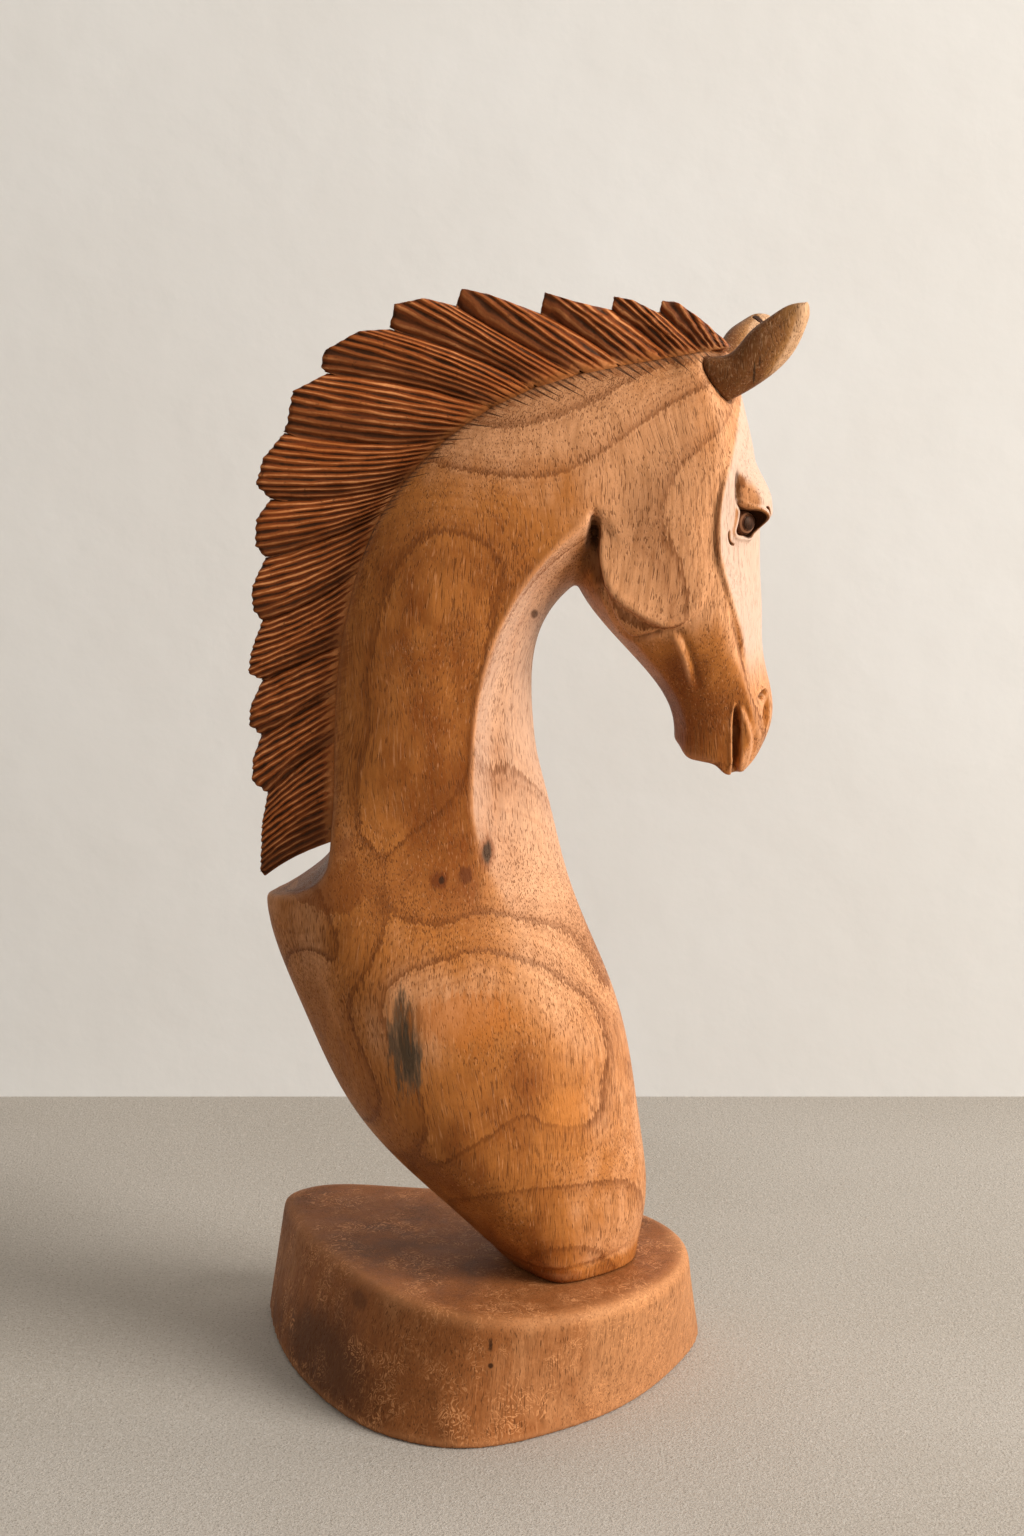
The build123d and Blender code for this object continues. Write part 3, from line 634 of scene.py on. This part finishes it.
for line in (OUTER_CREASE, INNER_CREASE):
    away, along, _ = to_line(spot, line_through(line, 2))
    fades = smooth(along, -0.01, 0.25) * (1 - smooth(along, 0.75, 1.01))
    crease = np.maximum(crease, np.exp(-(away / 0.55) ** 2) * fades)
pit = smooth(-around, -0.2, 0.9)
carved = (plain + brow + temple + lid - 2.4 * crease) * (1 - pit) - 8.5 * pit
share = face[near]
outward = EYE_OUT * np.stack([np.ones(len(share)), mirror[near], np.ones(len(share))], -1)
points[near] += ((carved - h[near]) * share)[:, None] * outward
# how much painted shade the eye gets: in its pit, under the upper lid, in the creases and in the temple's
# valley
socket = np.zeros(len(points))
under_lid_shade = smooth(-around, -1.5, 0.4) * smooth(right, -1, 4)
socket[near] = np.maximum(np.maximum(pit, under_lid_shade), np.maximum(0.7 * crease, -0.10 * temple)) * share
set_points(bust, points)


def on_side(points):
    return smooth(np.abs(points[:, 1]), 8, 14)


def carve(line, amount, width, ends, offset=0.0):
    """Raises (+) or cuts (-) the bust's sides along a line, or offset millimetres to its left (+) or right.

    It is width millimetres wide, and fades in and out over the two shares of the line in ends."""
    points, normals = points_of(bust), normals_of(bust)
    apart, along, which = to_line(points[:, [0, 2]], line_through(line, 2))
    apart = apart * which - offset if offset else apart
    profile = np.exp(-(apart / width) ** 2)
    profile *= smooth(along, -0.001, ends[0]) * (1 - smooth(along, 1 - ends[1], 1.001))
    points += (amount * profile * on_side(points))[:, None] * normals
    set_points(bust, points)


carve(NECK_EDGE, 1.0, 1.8, (0.02, 0.25))
carve(NECK_EDGE, -1.6, 6.5, (0.02, 0.3), 9.5)
carve(CHEEK_BACK, -3.6, 2.2, (0.1, 0.2), -3.2)
carve(CHEEK_RIM, 0.5, 3.0, (0.2, 0.2), 1.8)
carve(CHEEK_RIM, -0.9, 2.6, (0.25, 0.1), -2.6)
carve(JAW_CREASE, -2.0, 1.1, (0.1, 0.1))
carve(JAW_MUSCLE, 2.4, 2.4, (0.25, 0.55))
carve(JAW_MUSCLE, -1.2, 1.5, (0.2, 0.4), 3.6)
carve(FACE_VALLEY, -1.0, 5.0, (0.2, 0.15))
carve(FACE_EDGE, -1.2, 1.2, (0.25, 0.15), -1.6)
carve(FACE_EDGE, -1.3, 3.2, (0.3, 0.2), -3.6)
carve(FACE_EDGE, 0.5, 1.2, (0.25, 0.2))
carve(NOSTRIL_RIM, 1.7, 1.5, (0.1, 0.3))
carve(NOSTRIL_RIM, -3.6, 2.1, (0.1, 0.25), -3.0)
carve(LIP_BEAD, 1.3, 1.3, (0.1, 0.1))
carve(LIP_FOLD, -1.4, 2.0, (0.15, 0.1), 2.0)
carve(LIP_FOLD, 0.9, 1.2, (0.15, 0.1), -0.6)
carve(MOUTH_LINE, -6.0, 1.35, (0.3, 0.01))
carve(FOOT_CREASE, -1.1, 1.5, (0.1, 0.1))
set_points(bust, relax(points_of(bust), edges, 0.3, 1))

# the growth rings, as contour lines of one smooth field over the side of the bust
RINGS = [
    (0, [(-2, 462), (13, 461), (34, 465), (59, 475), (80, 487), (105, 494)]),
    (1, [(-28, 443), (3, 437), (29, 436), (54, 445), (80, 462), (110, 480), (30, 22), (58, 20), (-90, 185)]),
    (2, [(-55, 213), (-63, 246), (-64, 288), (-61, 330), (-52, 372), (-38, 398), (-28, 406), (-7, 407),
         (1, 400), (3, 373), (1, 331), (-3, 288), (-72, 155), (-59, 182), (-24, 202), (24, 198), (62, 160),
         (78, 116), (-20, 45), (18, 59), (56, 59), (80, 50), (96, 435), (94, 409), (101, 393), (106, 373),
         (102, 360)]),
    (3, [(-50, 172), (-29, 182), (-3, 189), (29, 177), (56, 155), (66, 124), (-45, 66), (-24, 71), (-3, 88),
         (24, 101), (62, 98)]),
    (2.6, [(-30, 330), (-28, 290), (120, 420)]),
    (3.6, [(0, 130), (20, 140)]),
    (1.5, [(-28, 222), (-74, 300), (-74, 350), (20, 420), (-85, 120), (-98, 142), (-104, 126)]),
    (2.7, [(125, 310), (90, 330)]),
    (1.55, [(-88, 150), (-90, 130), (-86, 108), (-80, 95)]),
]
ROUND_THE_FRONT = 0.035  # rings per millimetre in from the side, where the surface turns to the front or back


def skin_of(mesh):
    """A mesh's surface, to be felt from outside."""
    return BVHTree.FromPolygons([v.co for v in mesh.vertices], [p.vertices for p in mesh.polygons])


def half_width(skin, x, z, sign):
    """How far a surface is from the mid-plane there, on that sign's side, or 0 where there is no wood."""
    hit = skin.ray_cast(Vector((x / 1000, sign * 0.2, (z + BASE_TOP) / 1000)), Vector((0, -sign, 0)))[0]
    return abs(hit.y) * 1000 if hit and hit.y * sign > 0.002 else 0.0


def turning(places):
    """1 where the rings turn with the surface, and 0 at the shoulder's back edge."""
    return 1 - (1 - smooth(places[:, 0], -96, -78)) * (1 - smooth(places[:, 1], 170, 200))


def bend(gap):
    """The thin-plate spline's kernel and its slope along each axis."""
    square = (gap ** 2).sum(-1) + 1e-6
    return 0.5 * square * np.log(square), gap * (np.log(square) + 1)[..., None]


pins = np.array([place for _, places in RINGS for place in places], float) / 100
wanted = np.array([level for level, places in RINGS for _ in places])
skin = skin_of(bust.data)
widths = np.array([half_width(skin, x * 100, z * 100, -1) for x, z in pins])
wanted += ROUND_THE_FRONT * turning(pins * 100) * widths
plate = bend(pins[:, None] - pins[None])[0] + 0.002 * np.eye(len(pins))
flatness = np.column_stack([np.ones(len(pins)), pins])
system = np.block([[plate, flatness], [flatness.T, np.zeros((3, 3))]])
weights = np.linalg.solve(system, np.concatenate([wanted, np.zeros(3)]))
points = points_of(bust)
ring = np.empty(len(points))
slope = np.empty(len(points))
for first in range(0, len(points), 20000):
    some = slice(first, first + 20000)
    place = points[some][:, [0, 2]] / 100
    height, lean = bend(place[:, None] - pins[None])
    ring[some] = height @ weights[:-3] + weights[-3] + place @ weights[-2:]
    lean = np.einsum("ijk,j->ik", lean, weights[:-3]) + weights[-2:]
    slope[some] = np.hypot(np.hypot(*lean.T) / 100, ROUND_THE_FRONT * 0.6)
ring -= ROUND_THE_FRONT * turning(points[:, [0, 2]]) * np.abs(points[:, 1])
set_attribute(bust, "ring", ring)
set_attribute(bust, "ring_slope", np.clip(slope, 0.008, 0.2))


def blob(points, x, z, wide, tall):
    return np.exp(-((points[:, 0] - x) / wide) ** 2 - ((points[:, 2] - z) / tall) ** 2)


normals = normals_of(bust)
# the tone: patches of paler and darker wood, where the paler crest and cheek and the darker jaw are partly
# painted light and shade; painted highlight on the faces towards the window; and darker towards the bottom of
# the foot
tone = (0.5 - 0.20 * blob(points, -30, 310, 55, 90) + 0.35 * blob(points, 30, 470, 90, 30)
        + 0.58 * blob(points, 88, 405, 40, 56) - 0.35 * blob(points, 105, 315, 25, 32)
        + 0.18 * blob(points, -25, 165, 60, 28) - 0.10 * blob(points, 10, 110, 45, 30)
        + 0.30 * smooth(normals[:, 0], 0.2, 0.8)
        - 0.12 * blob(points, 30, 20, 60, 30) - 0.30 * (1 - smooth(points[:, 2], 5, 14)))
set_attribute(bust, "tone", np.clip(tone, 0, 1))
# the planes that face forward, towards the window, are the palest: forehead and nose, and the throat under
# the jaw; partly paler wood, partly painted highlight, the window's glare on the wax
beside, _, beside_side = to_line(points[:, [0, 2]], line_through(FACE_EDGE, 2))
nose_glare = smooth(normals[:, 0], 0.15, 0.5) * smooth(points[:, 2], 320, 350) * (points[:, 0] > 100)
nose_glare *= smooth(beside * beside_side, -0.8, 1.6)
throat_glare = smooth(normals[:, 0], 0.30, 0.85) * (1 - smooth(points[:, 0], 20, 80))
throat_glare *= smooth(points[:, 2], 150, 260)
set_attribute(bust, "pale", np.clip(0.68 * nose_glare + 0.40 * throat_glare, 0, 1))
mark_hollows(bust, 14)

# painted shade: the hollow value, which darkens the wood, is made deepest at the eyes, in the joints to the
# ears and the base, behind the cheek and in the nostrils
joint_shade = np.zeros(len(points))
for node, reach in (("ear_right", 2.2), ("ear_left", 2.2), ("base", 3.0)):
    skin = skin_of(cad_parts[node].data)
    close = points[:, 2] < 6 if node == "base" else (points[:, 0] > 100) & (points[:, 2] > 460)
    for number in np.nonzero(close)[0]:
        gap = skin.find_nearest(bust.data.vertices[number].co)[3] * 1000
        joint_shade[number] = max(joint_shade[number], 1 - gap / reach)
behind, _, behind_side = to_line(points[:, [0, 2]], line_through(CHEEK_BACK, 2))
under, _, under_side = to_line(points[:, [0, 2]], line_through(NECK_EDGE, 2))
recess_shade = (behind_side < 0) * (under_side > 0) * (points[:, 0] < 62) * (points[:, 2] > 352)
recess_shade = recess_shade * (1 - smooth(behind, 3, 13)) * smooth(under, 0.5, 3)
rim_gap, rim_along, rim_side = to_line(points[:, [0, 2]], line_through(NOSTRIL_RIM, 2))
nostril_shade = np.exp(-((rim_gap * rim_side + 3.2) / 1.8) ** 2) * on_side(points)
nostril_shade *= smooth(rim_along, 0, 0.15) * (1 - smooth(rim_along, 0.7, 1))
hollow = bust.data.attributes["hollow"].data
depth = listed(hollow, "value", 1)[:, 0] + 5 * socket + 2.2 * joint_shade + 1.0 * recess_shade + 1.3 * nostril_shade
hollow.foreach_set("value", depth.astype(np.float32))

# the plain stretches below the head need fewer faces
MOST_TRIANGLES = 190000
trunk = bust.vertex_groups.new(name="plain")
trunk.add(np.nonzero((points[:, 2] < 352) | (points[:, 0] < 20))[0].tolist(), 1.0, "REPLACE")
thin = bust.modifiers.new("thin", "DECIMATE")
thin.vertex_group = "plain"
thin.ratio = min(1.0, MOST_TRIANGLES / sum(len(p.vertices) - 2 for p in bust.data.polygons))
finish_modifiers(bust)
bust.data.materials.append(bust_wood)
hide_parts("bust")
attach(bust, "root")


# ---------- mane
# A crest of fourteen locks, carved in one board of darker wood and glued along the neck. Each lock is a
# pillow, fuller at its upper side, and V-cut with a gouge into fine hairs that fan out to its free edge.

CREST = [(-82, 246), (-80, 294), (-79, 320), (-76, 345), (-67, 384), (-54, 415), (-42, 432), (-20, 454),
         (3, 470), (25, 480), (48, 487), (73, 492), (97, 496), (113, 499), (128, 501)]
PARTINGS = [(-106, 233), (-103, 277), (-105, 304), (-98, 335), (-95, 366), (-80, 402), (-70, 424), (-59, 451),
            (-35, 480), (-8, 496), (10, 507), (48, 508), (81, 509), (102, 509), (128, 501)]
FREE_EDGES = [
    [(-122.5, 220), (-121, 246), (-118, 262)],
    [(-118, 263), (-126, 270), (-125, 283), (-121, 294)],
    [(-121, 295), (-127, 301), (-126, 311), (-120, 324)],
    [(-120, 325), (-127, 329), (-125, 341), (-119, 357)],
    [(-119, 357), (-124, 363), (-124, 375), (-117, 390)],
    [(-117, 391), (-122, 397), (-121, 411), (-114, 421)],
    [(-114, 422), (-121, 429), (-117, 443), (-106, 456)],
    [(-106, 457), (-104, 462), (-101, 478), (-83, 487)],
    [(-84, 488), (-86, 491), (-84, 499), (-66, 509), (-50, 510)],
    [(-50, 511), (-47, 523), (-32, 526), (-15, 522)],
    [(-15, 523), (-12, 531), (2, 528), (29, 518)],
    [(29, 519), (31, 529), (48, 524), (66, 520)],
    [(66, 520), (67, 527), (77, 525), (91, 518)],
    [(91, 519), (92, 525), (100, 524), (113, 515), (128, 502)],
]
HAIR_PITCH = 3.7
HAIR_DEPTH = 2.0
ROOT_HALF = (17.0, 13.0)  # half the board's thickness at the root: at the withers, and at the poll
EDGE_HALF = (6.2, 5.0)
TUCK = 0.11  # how far each lock runs in under the neck, as a share of its length
LAP = 0.13  # how far each lock runs in under the one below it, as a share of its breadth
LEVEL_FROM = 4  # from the fifth lock up, the hairs run out level with the neck

neck = skin_of(bust.data)


def on_path(corners, share):
    """Points at these shares of the way along a path."""
    corners = np.array(corners, float)
    run = np.concatenate([[0], np.cumsum(np.hypot(*np.diff(corners, axis=0).T))])
    return np.stack([np.interp(share * run[-1], run, corners[:, axis]) for axis in (0, 1)], -1)


def bowed(start, middle, end, share):
    """Points along the bow from start to end that passes through middle."""
    start, middle, end = (np.array(p, float) for p in (start, middle, end))
    pull = 2 * middle - (start + end) / 2
    t = share[:, None]
    return (1 - t) ** 2 * start + 2 * t * (1 - t) * pull + t ** 2 * end


def lock_place(index, u, v):
    """(x, z) of a lock's point: u runs from its root to its free edge, v from its lower to its upper side."""
    low = bowed(CREST[index], PARTINGS[index], FREE_EDGES[index][0], u)
    high = bowed(CREST[index + 1], PARTINGS[index + 1], FREE_EDGES[index][-1], u)
    under = (np.minimum(v, 0) * (1 - smooth(u, 0.86, 1.0)))[:, None]
    v = np.maximum(v, 0)
    root_ends = np.array(CREST[index:index + 2], float)
    edge_ends = np.array(FREE_EDGES[index], float)[[0, -1]]
    root = on_path(root_ends, v)
    edge = on_path(FREE_EDGES[index], v)
    u, v = u[:, None], v[:, None]
    corners = ((1 - u) * (1 - v) * root_ends[0] + (1 - u) * v * root_ends[1]
               + u * (1 - v) * edge_ends[0] + u * v * edge_ends[1])
    return (1 - v) * low + v * high + (1 - u) * root + u * edge - corners + under * (high - low)


def wander(value, seed):
    """A slow, hand-made unevenness between about -1 and 1."""
    waves = ((1.0, 2.1, 1.7), (0.6, 4.7, 2.9), (0.4, 9.3, 0.7))
    return sum(height * np.sin(pace * value + start * seed) for height, pace, start in waves) / 2


def hairs_in(index):
    across = np.array(CREST[index + 1], float) - CREST[index]
    edge = np.array(FREE_EDGES[index][-1], float) - FREE_EDGES[index][0]
    along = np.array(FREE_EDGES[index][0], float) - CREST[index]
    along /= np.hypot(*along)
    widths = [abs(step[0] * along[1] - step[1] * along[0]) for step in (across, edge)]
    return max(5, round(max(widths) / HAIR_PITCH))


def hair_cut(index, u, v):
    """0 on a hair's ridge and 1 in the cut beside it."""
    count = hairs_in(index)
    phase = v * count + 0.16 * wander(3 * u + 0.5 * np.floor(v * count), index) * smooth(u, 0, 0.2)
    cut = np.abs(2 * (phase - np.floor(phase)) - 1)
    return cut ** 0.85, np.floor(phase)


def make_lock(index):
    """A lock's closed shell of two carved faces and its rim, and for each point its cut's depth, u and v."""
    columns = 40
    rows = 7 * hairs_in(index)
    bm = bmesh.new()
    bmesh.ops.create_grid(bm, x_segments=columns, y_segments=rows, size=0.5)
    near = len(bm.verts)
    bmesh.ops.extrude_face_region(bm, geom=bm.faces[:], use_keep_orig=True)
    bm.verts.ensure_lookup_table()
    grid = np.array([(v.co.x, v.co.y) for v in bm.verts]) + 0.5
    far = np.arange(len(grid)) >= near
    u = -TUCK + (1 + TUCK) * grid[:, 0]
    v = -LAP + (1 + LAP) * grid[:, 1]
    place = lock_place(index, u, v)

    share = index / (len(FREE_EDGES) - 1)
    root_half = ROOT_HALF[0] + (ROOT_HALF[1] - ROOT_HALF[0]) * share
    edge_half = EDGE_HALF[0] + (EDGE_HALF[1] - EDGE_HALF[0]) * share
    # the far side's hairs are cut to their own spacing
    cut, hair = hair_cut(index, u, np.where(far, v + 0.37 / hairs_in(index), v))
    strong = 0.75 + 0.25 * np.sin(2.4 * hair + index)
    ends = smooth(u, -0.02 + 0.05 * np.sin(3.1 * hair + index), 0.14 + 0.05 * np.sin(3.1 * hair + index))
    crown = np.sin(np.pi * np.clip(0.06 + 0.94 * v, 0, 1) ** 1.7)
    pillow = (3.6 * crown - 2.1 + 7 * np.minimum(v, 0)) * smooth(u, 0.0, 0.35)
    half = root_half + (edge_half - root_half) * np.clip(u, 0, 1) ** 0.85 + pillow
    half += 0.35 * wander(5 * u + 2 * v, index + 3) * smooth(u, 0.05, 0.3)

    if index >= LEVEL_FROM:
        signs = np.where(far, 1.0, -1.0)
        level = np.array([half_width(neck, x, z, sign) for (x, z), sign in zip(place, signs)])
        merge = (1 - smooth(u, 0.02, 0.30)) * (level > 0)
        half = half * (1 - merge) + (level + 0.25) * merge
    half -= HAIR_DEPTH * strong * cut * ends
    half = np.maximum(half, 1.2)
    half *= 1 - 0.10 * smooth(u, 0.95, 1.0)
    half -= 6.0 * smooth(-u, 0.0, TUCK)
    rim = smooth(u, 0.88, 1.0) * cut * strong
    # where a cut runs out over the free edge it leaves a small nick
    inward = place - lock_place(index, u - 0.05, v)
    inward /= np.maximum(np.hypot(inward[:, 0], inward[:, 1]), 1e-6)[:, None]
    place = place - 1.1 * rim[:, None] * inward
    for vertex, (x, z), y in zip(bm.verts, place, np.where(far, half, -half)):
        vertex.co = (x / 1000, y / 1000, (z + BASE_TOP) / 1000)
    bmesh.ops.recalc_face_normals(bm, faces=bm.faces)
    return mesh_of(bm, "lock"), cut * ends, u, v


bm = bmesh.new()
shades = {"cut": [], "run": [], "breadth": []}
for index in range(len(FREE_EDGES)):
    lock, *values = make_lock(index)
    bm.from_mesh(lock)
    bpy.data.meshes.remove(lock)
    for kept, value in zip(shades.values(), values):
        kept.append(value)
mane = put_in_scene("mane_carved", mesh_of(bm, "mane_carved"))
mane.data.shade_smooth()
for name, values in shades.items():
    set_attribute(mane, name, np.concatenate(values))

mane_wood, tree, shader = material("mane_wood")
shader.inputs["Specular IOR Level"].default_value = 0.40
shader.inputs["Specular Tint"].default_value = (1.0, 0.62, 0.38, 1)
where = signal(tree, "TexCoord", "Object")
cut, run, breadth = read(tree, "cut"), read(tree, "run"), read(tree, "breadth")
broad = cloud(where, 24.0, 3.0)
nicks = cloud(where, 330.0, 3.0, 0.6)
grime = cloud(where, 85.0, 4.0, 0.65)
# the hairs' ridges are painted paler and their cuts darker, down to near black at the bottom: partly stain
# gathered in the cuts, partly painted highlight on the ridges and painted shade in the cuts
ridge = blend(ease(broad, 0.35, 0.65), (0.4, 0.115, 0.026), (0.66, 0.255, 0.088))
body = blend(ease(grime, 0.35, 0.65), (0.168, 0.033, 0.006), (0.305, 0.074, 0.0145))
depth = cut + (grime - 0.5) * 0.95
tint = blend(ease(depth, 0.1, 0.42), ridge, body)
tint = blend(ease(depth, 0.55, 0.95), tint, (0.03, 0.007, 0.0022))
shade = breadth + (broad - 0.5) * 0.8
tint = blend((1.0 - ease(shade, 0.02, 0.5)) * 0.58, tint, (0.055, 0.0135, 0.004))
# beside the neck, as far as the gouge happened to start, it is still the neck's pale wood
begun = run + (cloud(where, 240.0, 3.0, 0.6) - 0.5) * 0.5
begun = ease(begun, 0.0, 0.09)
root = blend(ease(depth, 0.3, 0.85), (0.33, 0.105, 0.024), (0.09, 0.022, 0.006))
tint = blend((1.0 - begun) * 0.7, tint, root)
tint = blend(ease(nicks, 0.6, 0.74) * 0.6, tint, (0.03, 0.008, 0.003))
fill(shader, {"Base Color": tint, "Roughness": 0.4 + grime * 0.28,
              "Normal": dented(grime - nicks, 0.5, 0.0006)})
mane.data.materials.append(mane_wood)
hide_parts("mane")
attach(mane, "root")


def between_locks(values, shares):
    """Reads a list with one entry for each place between two locks at these shares of an index."""
    columns = np.array(values, float).T
    return np.stack([np.interp(shares, range(len(values)), column) for column in columns], -1)


# where the gouge ran out on to the neck it left fine tapering cuts, in line with the hairs
inward = np.array(CREST, float) - np.array(PARTINGS, float)
inward[-1] = inward[-2]
inward /= np.hypot(*inward.T)[:, None]
counted = np.concatenate([[0], np.cumsum([hairs_in(index) for index in range(len(FREE_EDGES))])])
shares = np.linspace(0, len(CREST) - 1, 420)
station = between_locks(CREST, shares)
aim = between_locks(inward, shares)
aim /= np.hypot(*aim.T)[:, None]
flat = points_of(bust)[:, [0, 2]]
hair, off = np.full(len(flat), 0.5), np.full(len(flat), 60.0)
beside = np.nonzero(to_line(flat, np.array(CREST, float))[0] < 40)[0]
away = flat[beside][:, None] - station[None]
across = away[..., 0] * aim[:, 1] - away[..., 1] * aim[:, 0]
onward = (away * aim).sum(-1)
best = np.clip((np.abs(across) + 0.02 * np.abs(onward)).argmin(1), 1, len(shares) - 2)
pick = np.arange(len(beside))
step = across[pick, best + 1] - across[pick, best - 1]
between = np.clip(-across[pick, best] / np.where(np.abs(step) < 1e-6, 1e-6, step) * 2, -1, 1)
hair[beside] = np.interp(shares[best] + between * (shares[1] - shares[0]), range(len(CREST)), counted)
off[beside] = onward[pick, best]
reach = smooth(hair, counted[LEVEL_FROM], counted[LEVEL_FROM + 2])
reach *= 1 - 0.6 * smooth(hair, counted[12], counted[14])
for name, values in (("hair", hair), ("hair_off", off), ("hair_reach", reach)):
    set_attribute(bust, name, values)


# ---------- ears
# Two solid leaves with crisply cut facets, each let into the head on a dowel. Their wood is smoky at the root
# and nearly white at the tip, with one dark square peg in the left one, and painted highlight on the window
# side.

ear_wood = wood("ear_wood", (0.15, 0.044, 0.010), (0.33, 0.142, 0.042), (0.62, 0.355, 0.190),
                pores=1.15, toned=True, worn=0.6, spots=(
    ((0.138, -0.034, 0.557), (0.0007, 0.02, 0.0065), (0.02, 0.008, 0.004), 0.85, 0.7),
    ((0.1405, -0.034, 0.563), (0.0006, 0.02, 0.003), (0.02, 0.008, 0.004), 0.7, 0.7),
))
# a point on each flat cut of the right ear, and the way it faces
EAR_FACETS = [
    ((158, -35, 503), (0.62, -0.72, -0.30)),
    ((163, -36, 517), (0.80, -0.50, 0.10)),
    ((140, -33, 489), (0.10, -0.80, -0.58)),
    ((150, -36, 510), (-0.30, -0.88, 0.36)),
]


def flatten_to(points, place, facing):
    """Planes off whatever stands out beyond a flat cut."""
    place, facing = np.array(place, float), np.array(facing, float)
    facing /= np.linalg.norm(facing)
    proud = np.maximum(0, (points - place) @ facing)
    points -= (0.92 * proud)[:, None] * facing


for node in ("ear_right", "ear_left"):
    ear = blank_from(node, node + "_carved", 0.0007)
    edges = edges_of(ear)
    points = relax(points_of(ear), edges, 0.5, 8)
    if node == "ear_right":
        for place, facing in EAR_FACETS:
            flatten_to(points, place, facing)
        points = relax(points, edges, 0.4, 2)
    set_points(ear, points)
    low, high = points[:, 0].min(), points[:, 0].max()
    run = (points[:, 0] - low) / (high - low)
    window_side = smooth(normals_of(ear)[:, 0], 0.05, 0.45)
    tone = 0.15 + 0.30 * smooth(run, 0.3, 0.75) + 0.40 * smooth(run, 0.72, 1.0)
    # painted highlight on the side that faces the window
    tone += 0.45 * window_side * smooth(run, 0.45, 0.75)
    # painted shade: the left ear, on the far side, is darker all over
    if node == "ear_left":
        tone *= 0.75
    set_attribute(ear, "tone", np.clip(tone, 0, 1))
    mark_hollows(ear, 8)
    ear.data.materials.append(ear_wood)
    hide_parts(node)
    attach(ear, "root")


# ---------- eyes and peg
# Turned balls of dark reddish wood, with an almost black plug for each pupil, oiled to a shine; the ear's peg
# is cut from the same black stick.

HIGHLIGHT_RING_RADIUS = 0.0050


def polished(name, deep, light, scale, gloss, rings=()):
    """A dark close-grained wood, oiled and rubbed to a shine, with a thin pale ring round each place: partly
    the wood's own, partly painted highlight.
    """
    made, tree, shader = material(name)
    shader.inputs["Specular Tint"].default_value = (1.0, 0.7, 0.5, 1)
    shader.inputs["Specular IOR Level"].default_value = 0.22
    where = signal(tree, "TexCoord", "Object")
    grain = cloud(stretch(where, scale), 1.0, 4.0, 0.6)
    tint = blend(ease(grain, 0.35, 0.68), deep, light)
    # a thin pale ring round each pupil, partly the eye's own colour and partly painted highlight
    for middle in rings:
        off = abs(vector_math("DISTANCE", where, middle, "Value") - HIGHLIGHT_RING_RADIUS)
        tint = blend(1.0 - ease(off, 0.0002, 0.0006), tint, (0.27, 0.115, 0.055))
    fill(shader, {"Base Color": tint, "Roughness": gloss + grain * 0.15,
                  "Normal": dented(grain, 0.3, 0.0002)})
    return made


pupils = [[(low + high) / 2 for low, high in zip(*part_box(node))] for node in ("pupil_right", "pupil_left")]
eye_wood = polished("eye_wood", (0.045, 0.014, 0.007), (0.13, 0.045, 0.019), (700, 700, 160), 0.24, pupils)
dark_wood = polished("dark_wood", (0.014, 0.005, 0.002), (0.055, 0.018, 0.008), (900, 900, 200), 0.45)


# ---------- dowels and coach screw
# Beech dowels lie inside the joints, and one zinc-plated coach screw with its washer, sunk in the underside,
# holds the bust to the base.

beech_wood, tree, shader = material("dowel_wood")
where = signal(tree, "TexCoord", "Object")
flecks = ease(cloud(stretch(where, (1100, 1100, 240)), 1.0, 1.0), 0.58, 0.66)
fibre = cloud(stretch(where, (500, 500, 22)), 1.0, 3.0, 0.6)
tint = blend(ease(fibre, 0.3, 0.7), (0.50, 0.33, 0.18), (0.66, 0.48, 0.30))
tint = blend(flecks * 0.6, tint, (0.34, 0.18, 0.09))
fill(shader, {"Base Color": tint, "Roughness": 0.5 + fibre * 0.25, "Normal": dented(fibre, 0.4, 0.0003)})

zinc_steel, tree, shader = material("zinc_steel")
shader.inputs["Metallic"].default_value = 1.0
where = signal(tree, "TexCoord", "Object")
spangle = signal(tree, "TexVoronoi", "Color", {"Vector": where, "Scale": 420.0})
spangle = signal(tree, "SeparateColor", "Red", {"Color": spangle})
dull = cloud(where, 160.0, 4.0, 0.6)
tint = blend(ease(spangle * 0.4 + dull * 0.6, 0.3, 0.8), (0.42, 0.43, 0.43), (0.68, 0.69, 0.68))
fill(shader, {"Base Color": tint, "Roughness": 0.26 + dull * 0.28, "Normal": dented(dull, 0.2, 0.0001)})

FINISHES = {
    eye_wood: ("eye_right", "eye_left"),
    dark_wood: ("pupil_right", "pupil_left", "ear_peg"),
    beech_wood: ("foot_dowels", "mane_dowels", "ear_dowels"),
    zinc_steel: ("base_screw", "screw_washer"),
}
for finish, nodes in FINISHES.items():
    for node in nodes:
        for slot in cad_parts[node].material_slots:
            slot.material = finish


# ---------- light and the close
# Soft daylight from one tall window on the right, and the pale room all round.

def window(name, place, target, size, power, colour):
    lamp = bpy.data.lights.new(name, "AREA")
    lamp.shape = "RECTANGLE"
    lamp.size, lamp.size_y = size
    lamp.energy = power
    lamp.color = colour
    made = put_in_scene(name, lamp)
    made.location = place
    made.rotation_euler = (Vector(target) - Vector(place)).to_track_quat("-Z", "Y").to_euler()


window("window", (3.6, -1.75, 2.10), (0, 0, 0.34), (2.0, 3.1), 310, (1.0, 0.985, 0.965))
window("front_fill", (-0.5, -2.2, 1.6), (0, 0, 0.35), (1.8, 1.4), 7, (1.0, 0.985, 0.96))
world = bpy.data.worlds.new("room_light")
world.use_nodes = True
fill(world.node_tree.nodes["Background"], {"Color": (0.97, 0.965, 0.955, 1), "Strength": 0.27})
bpy.context.scene.world = world
bpy.context.scene.view_settings.view_transform = "Standard"
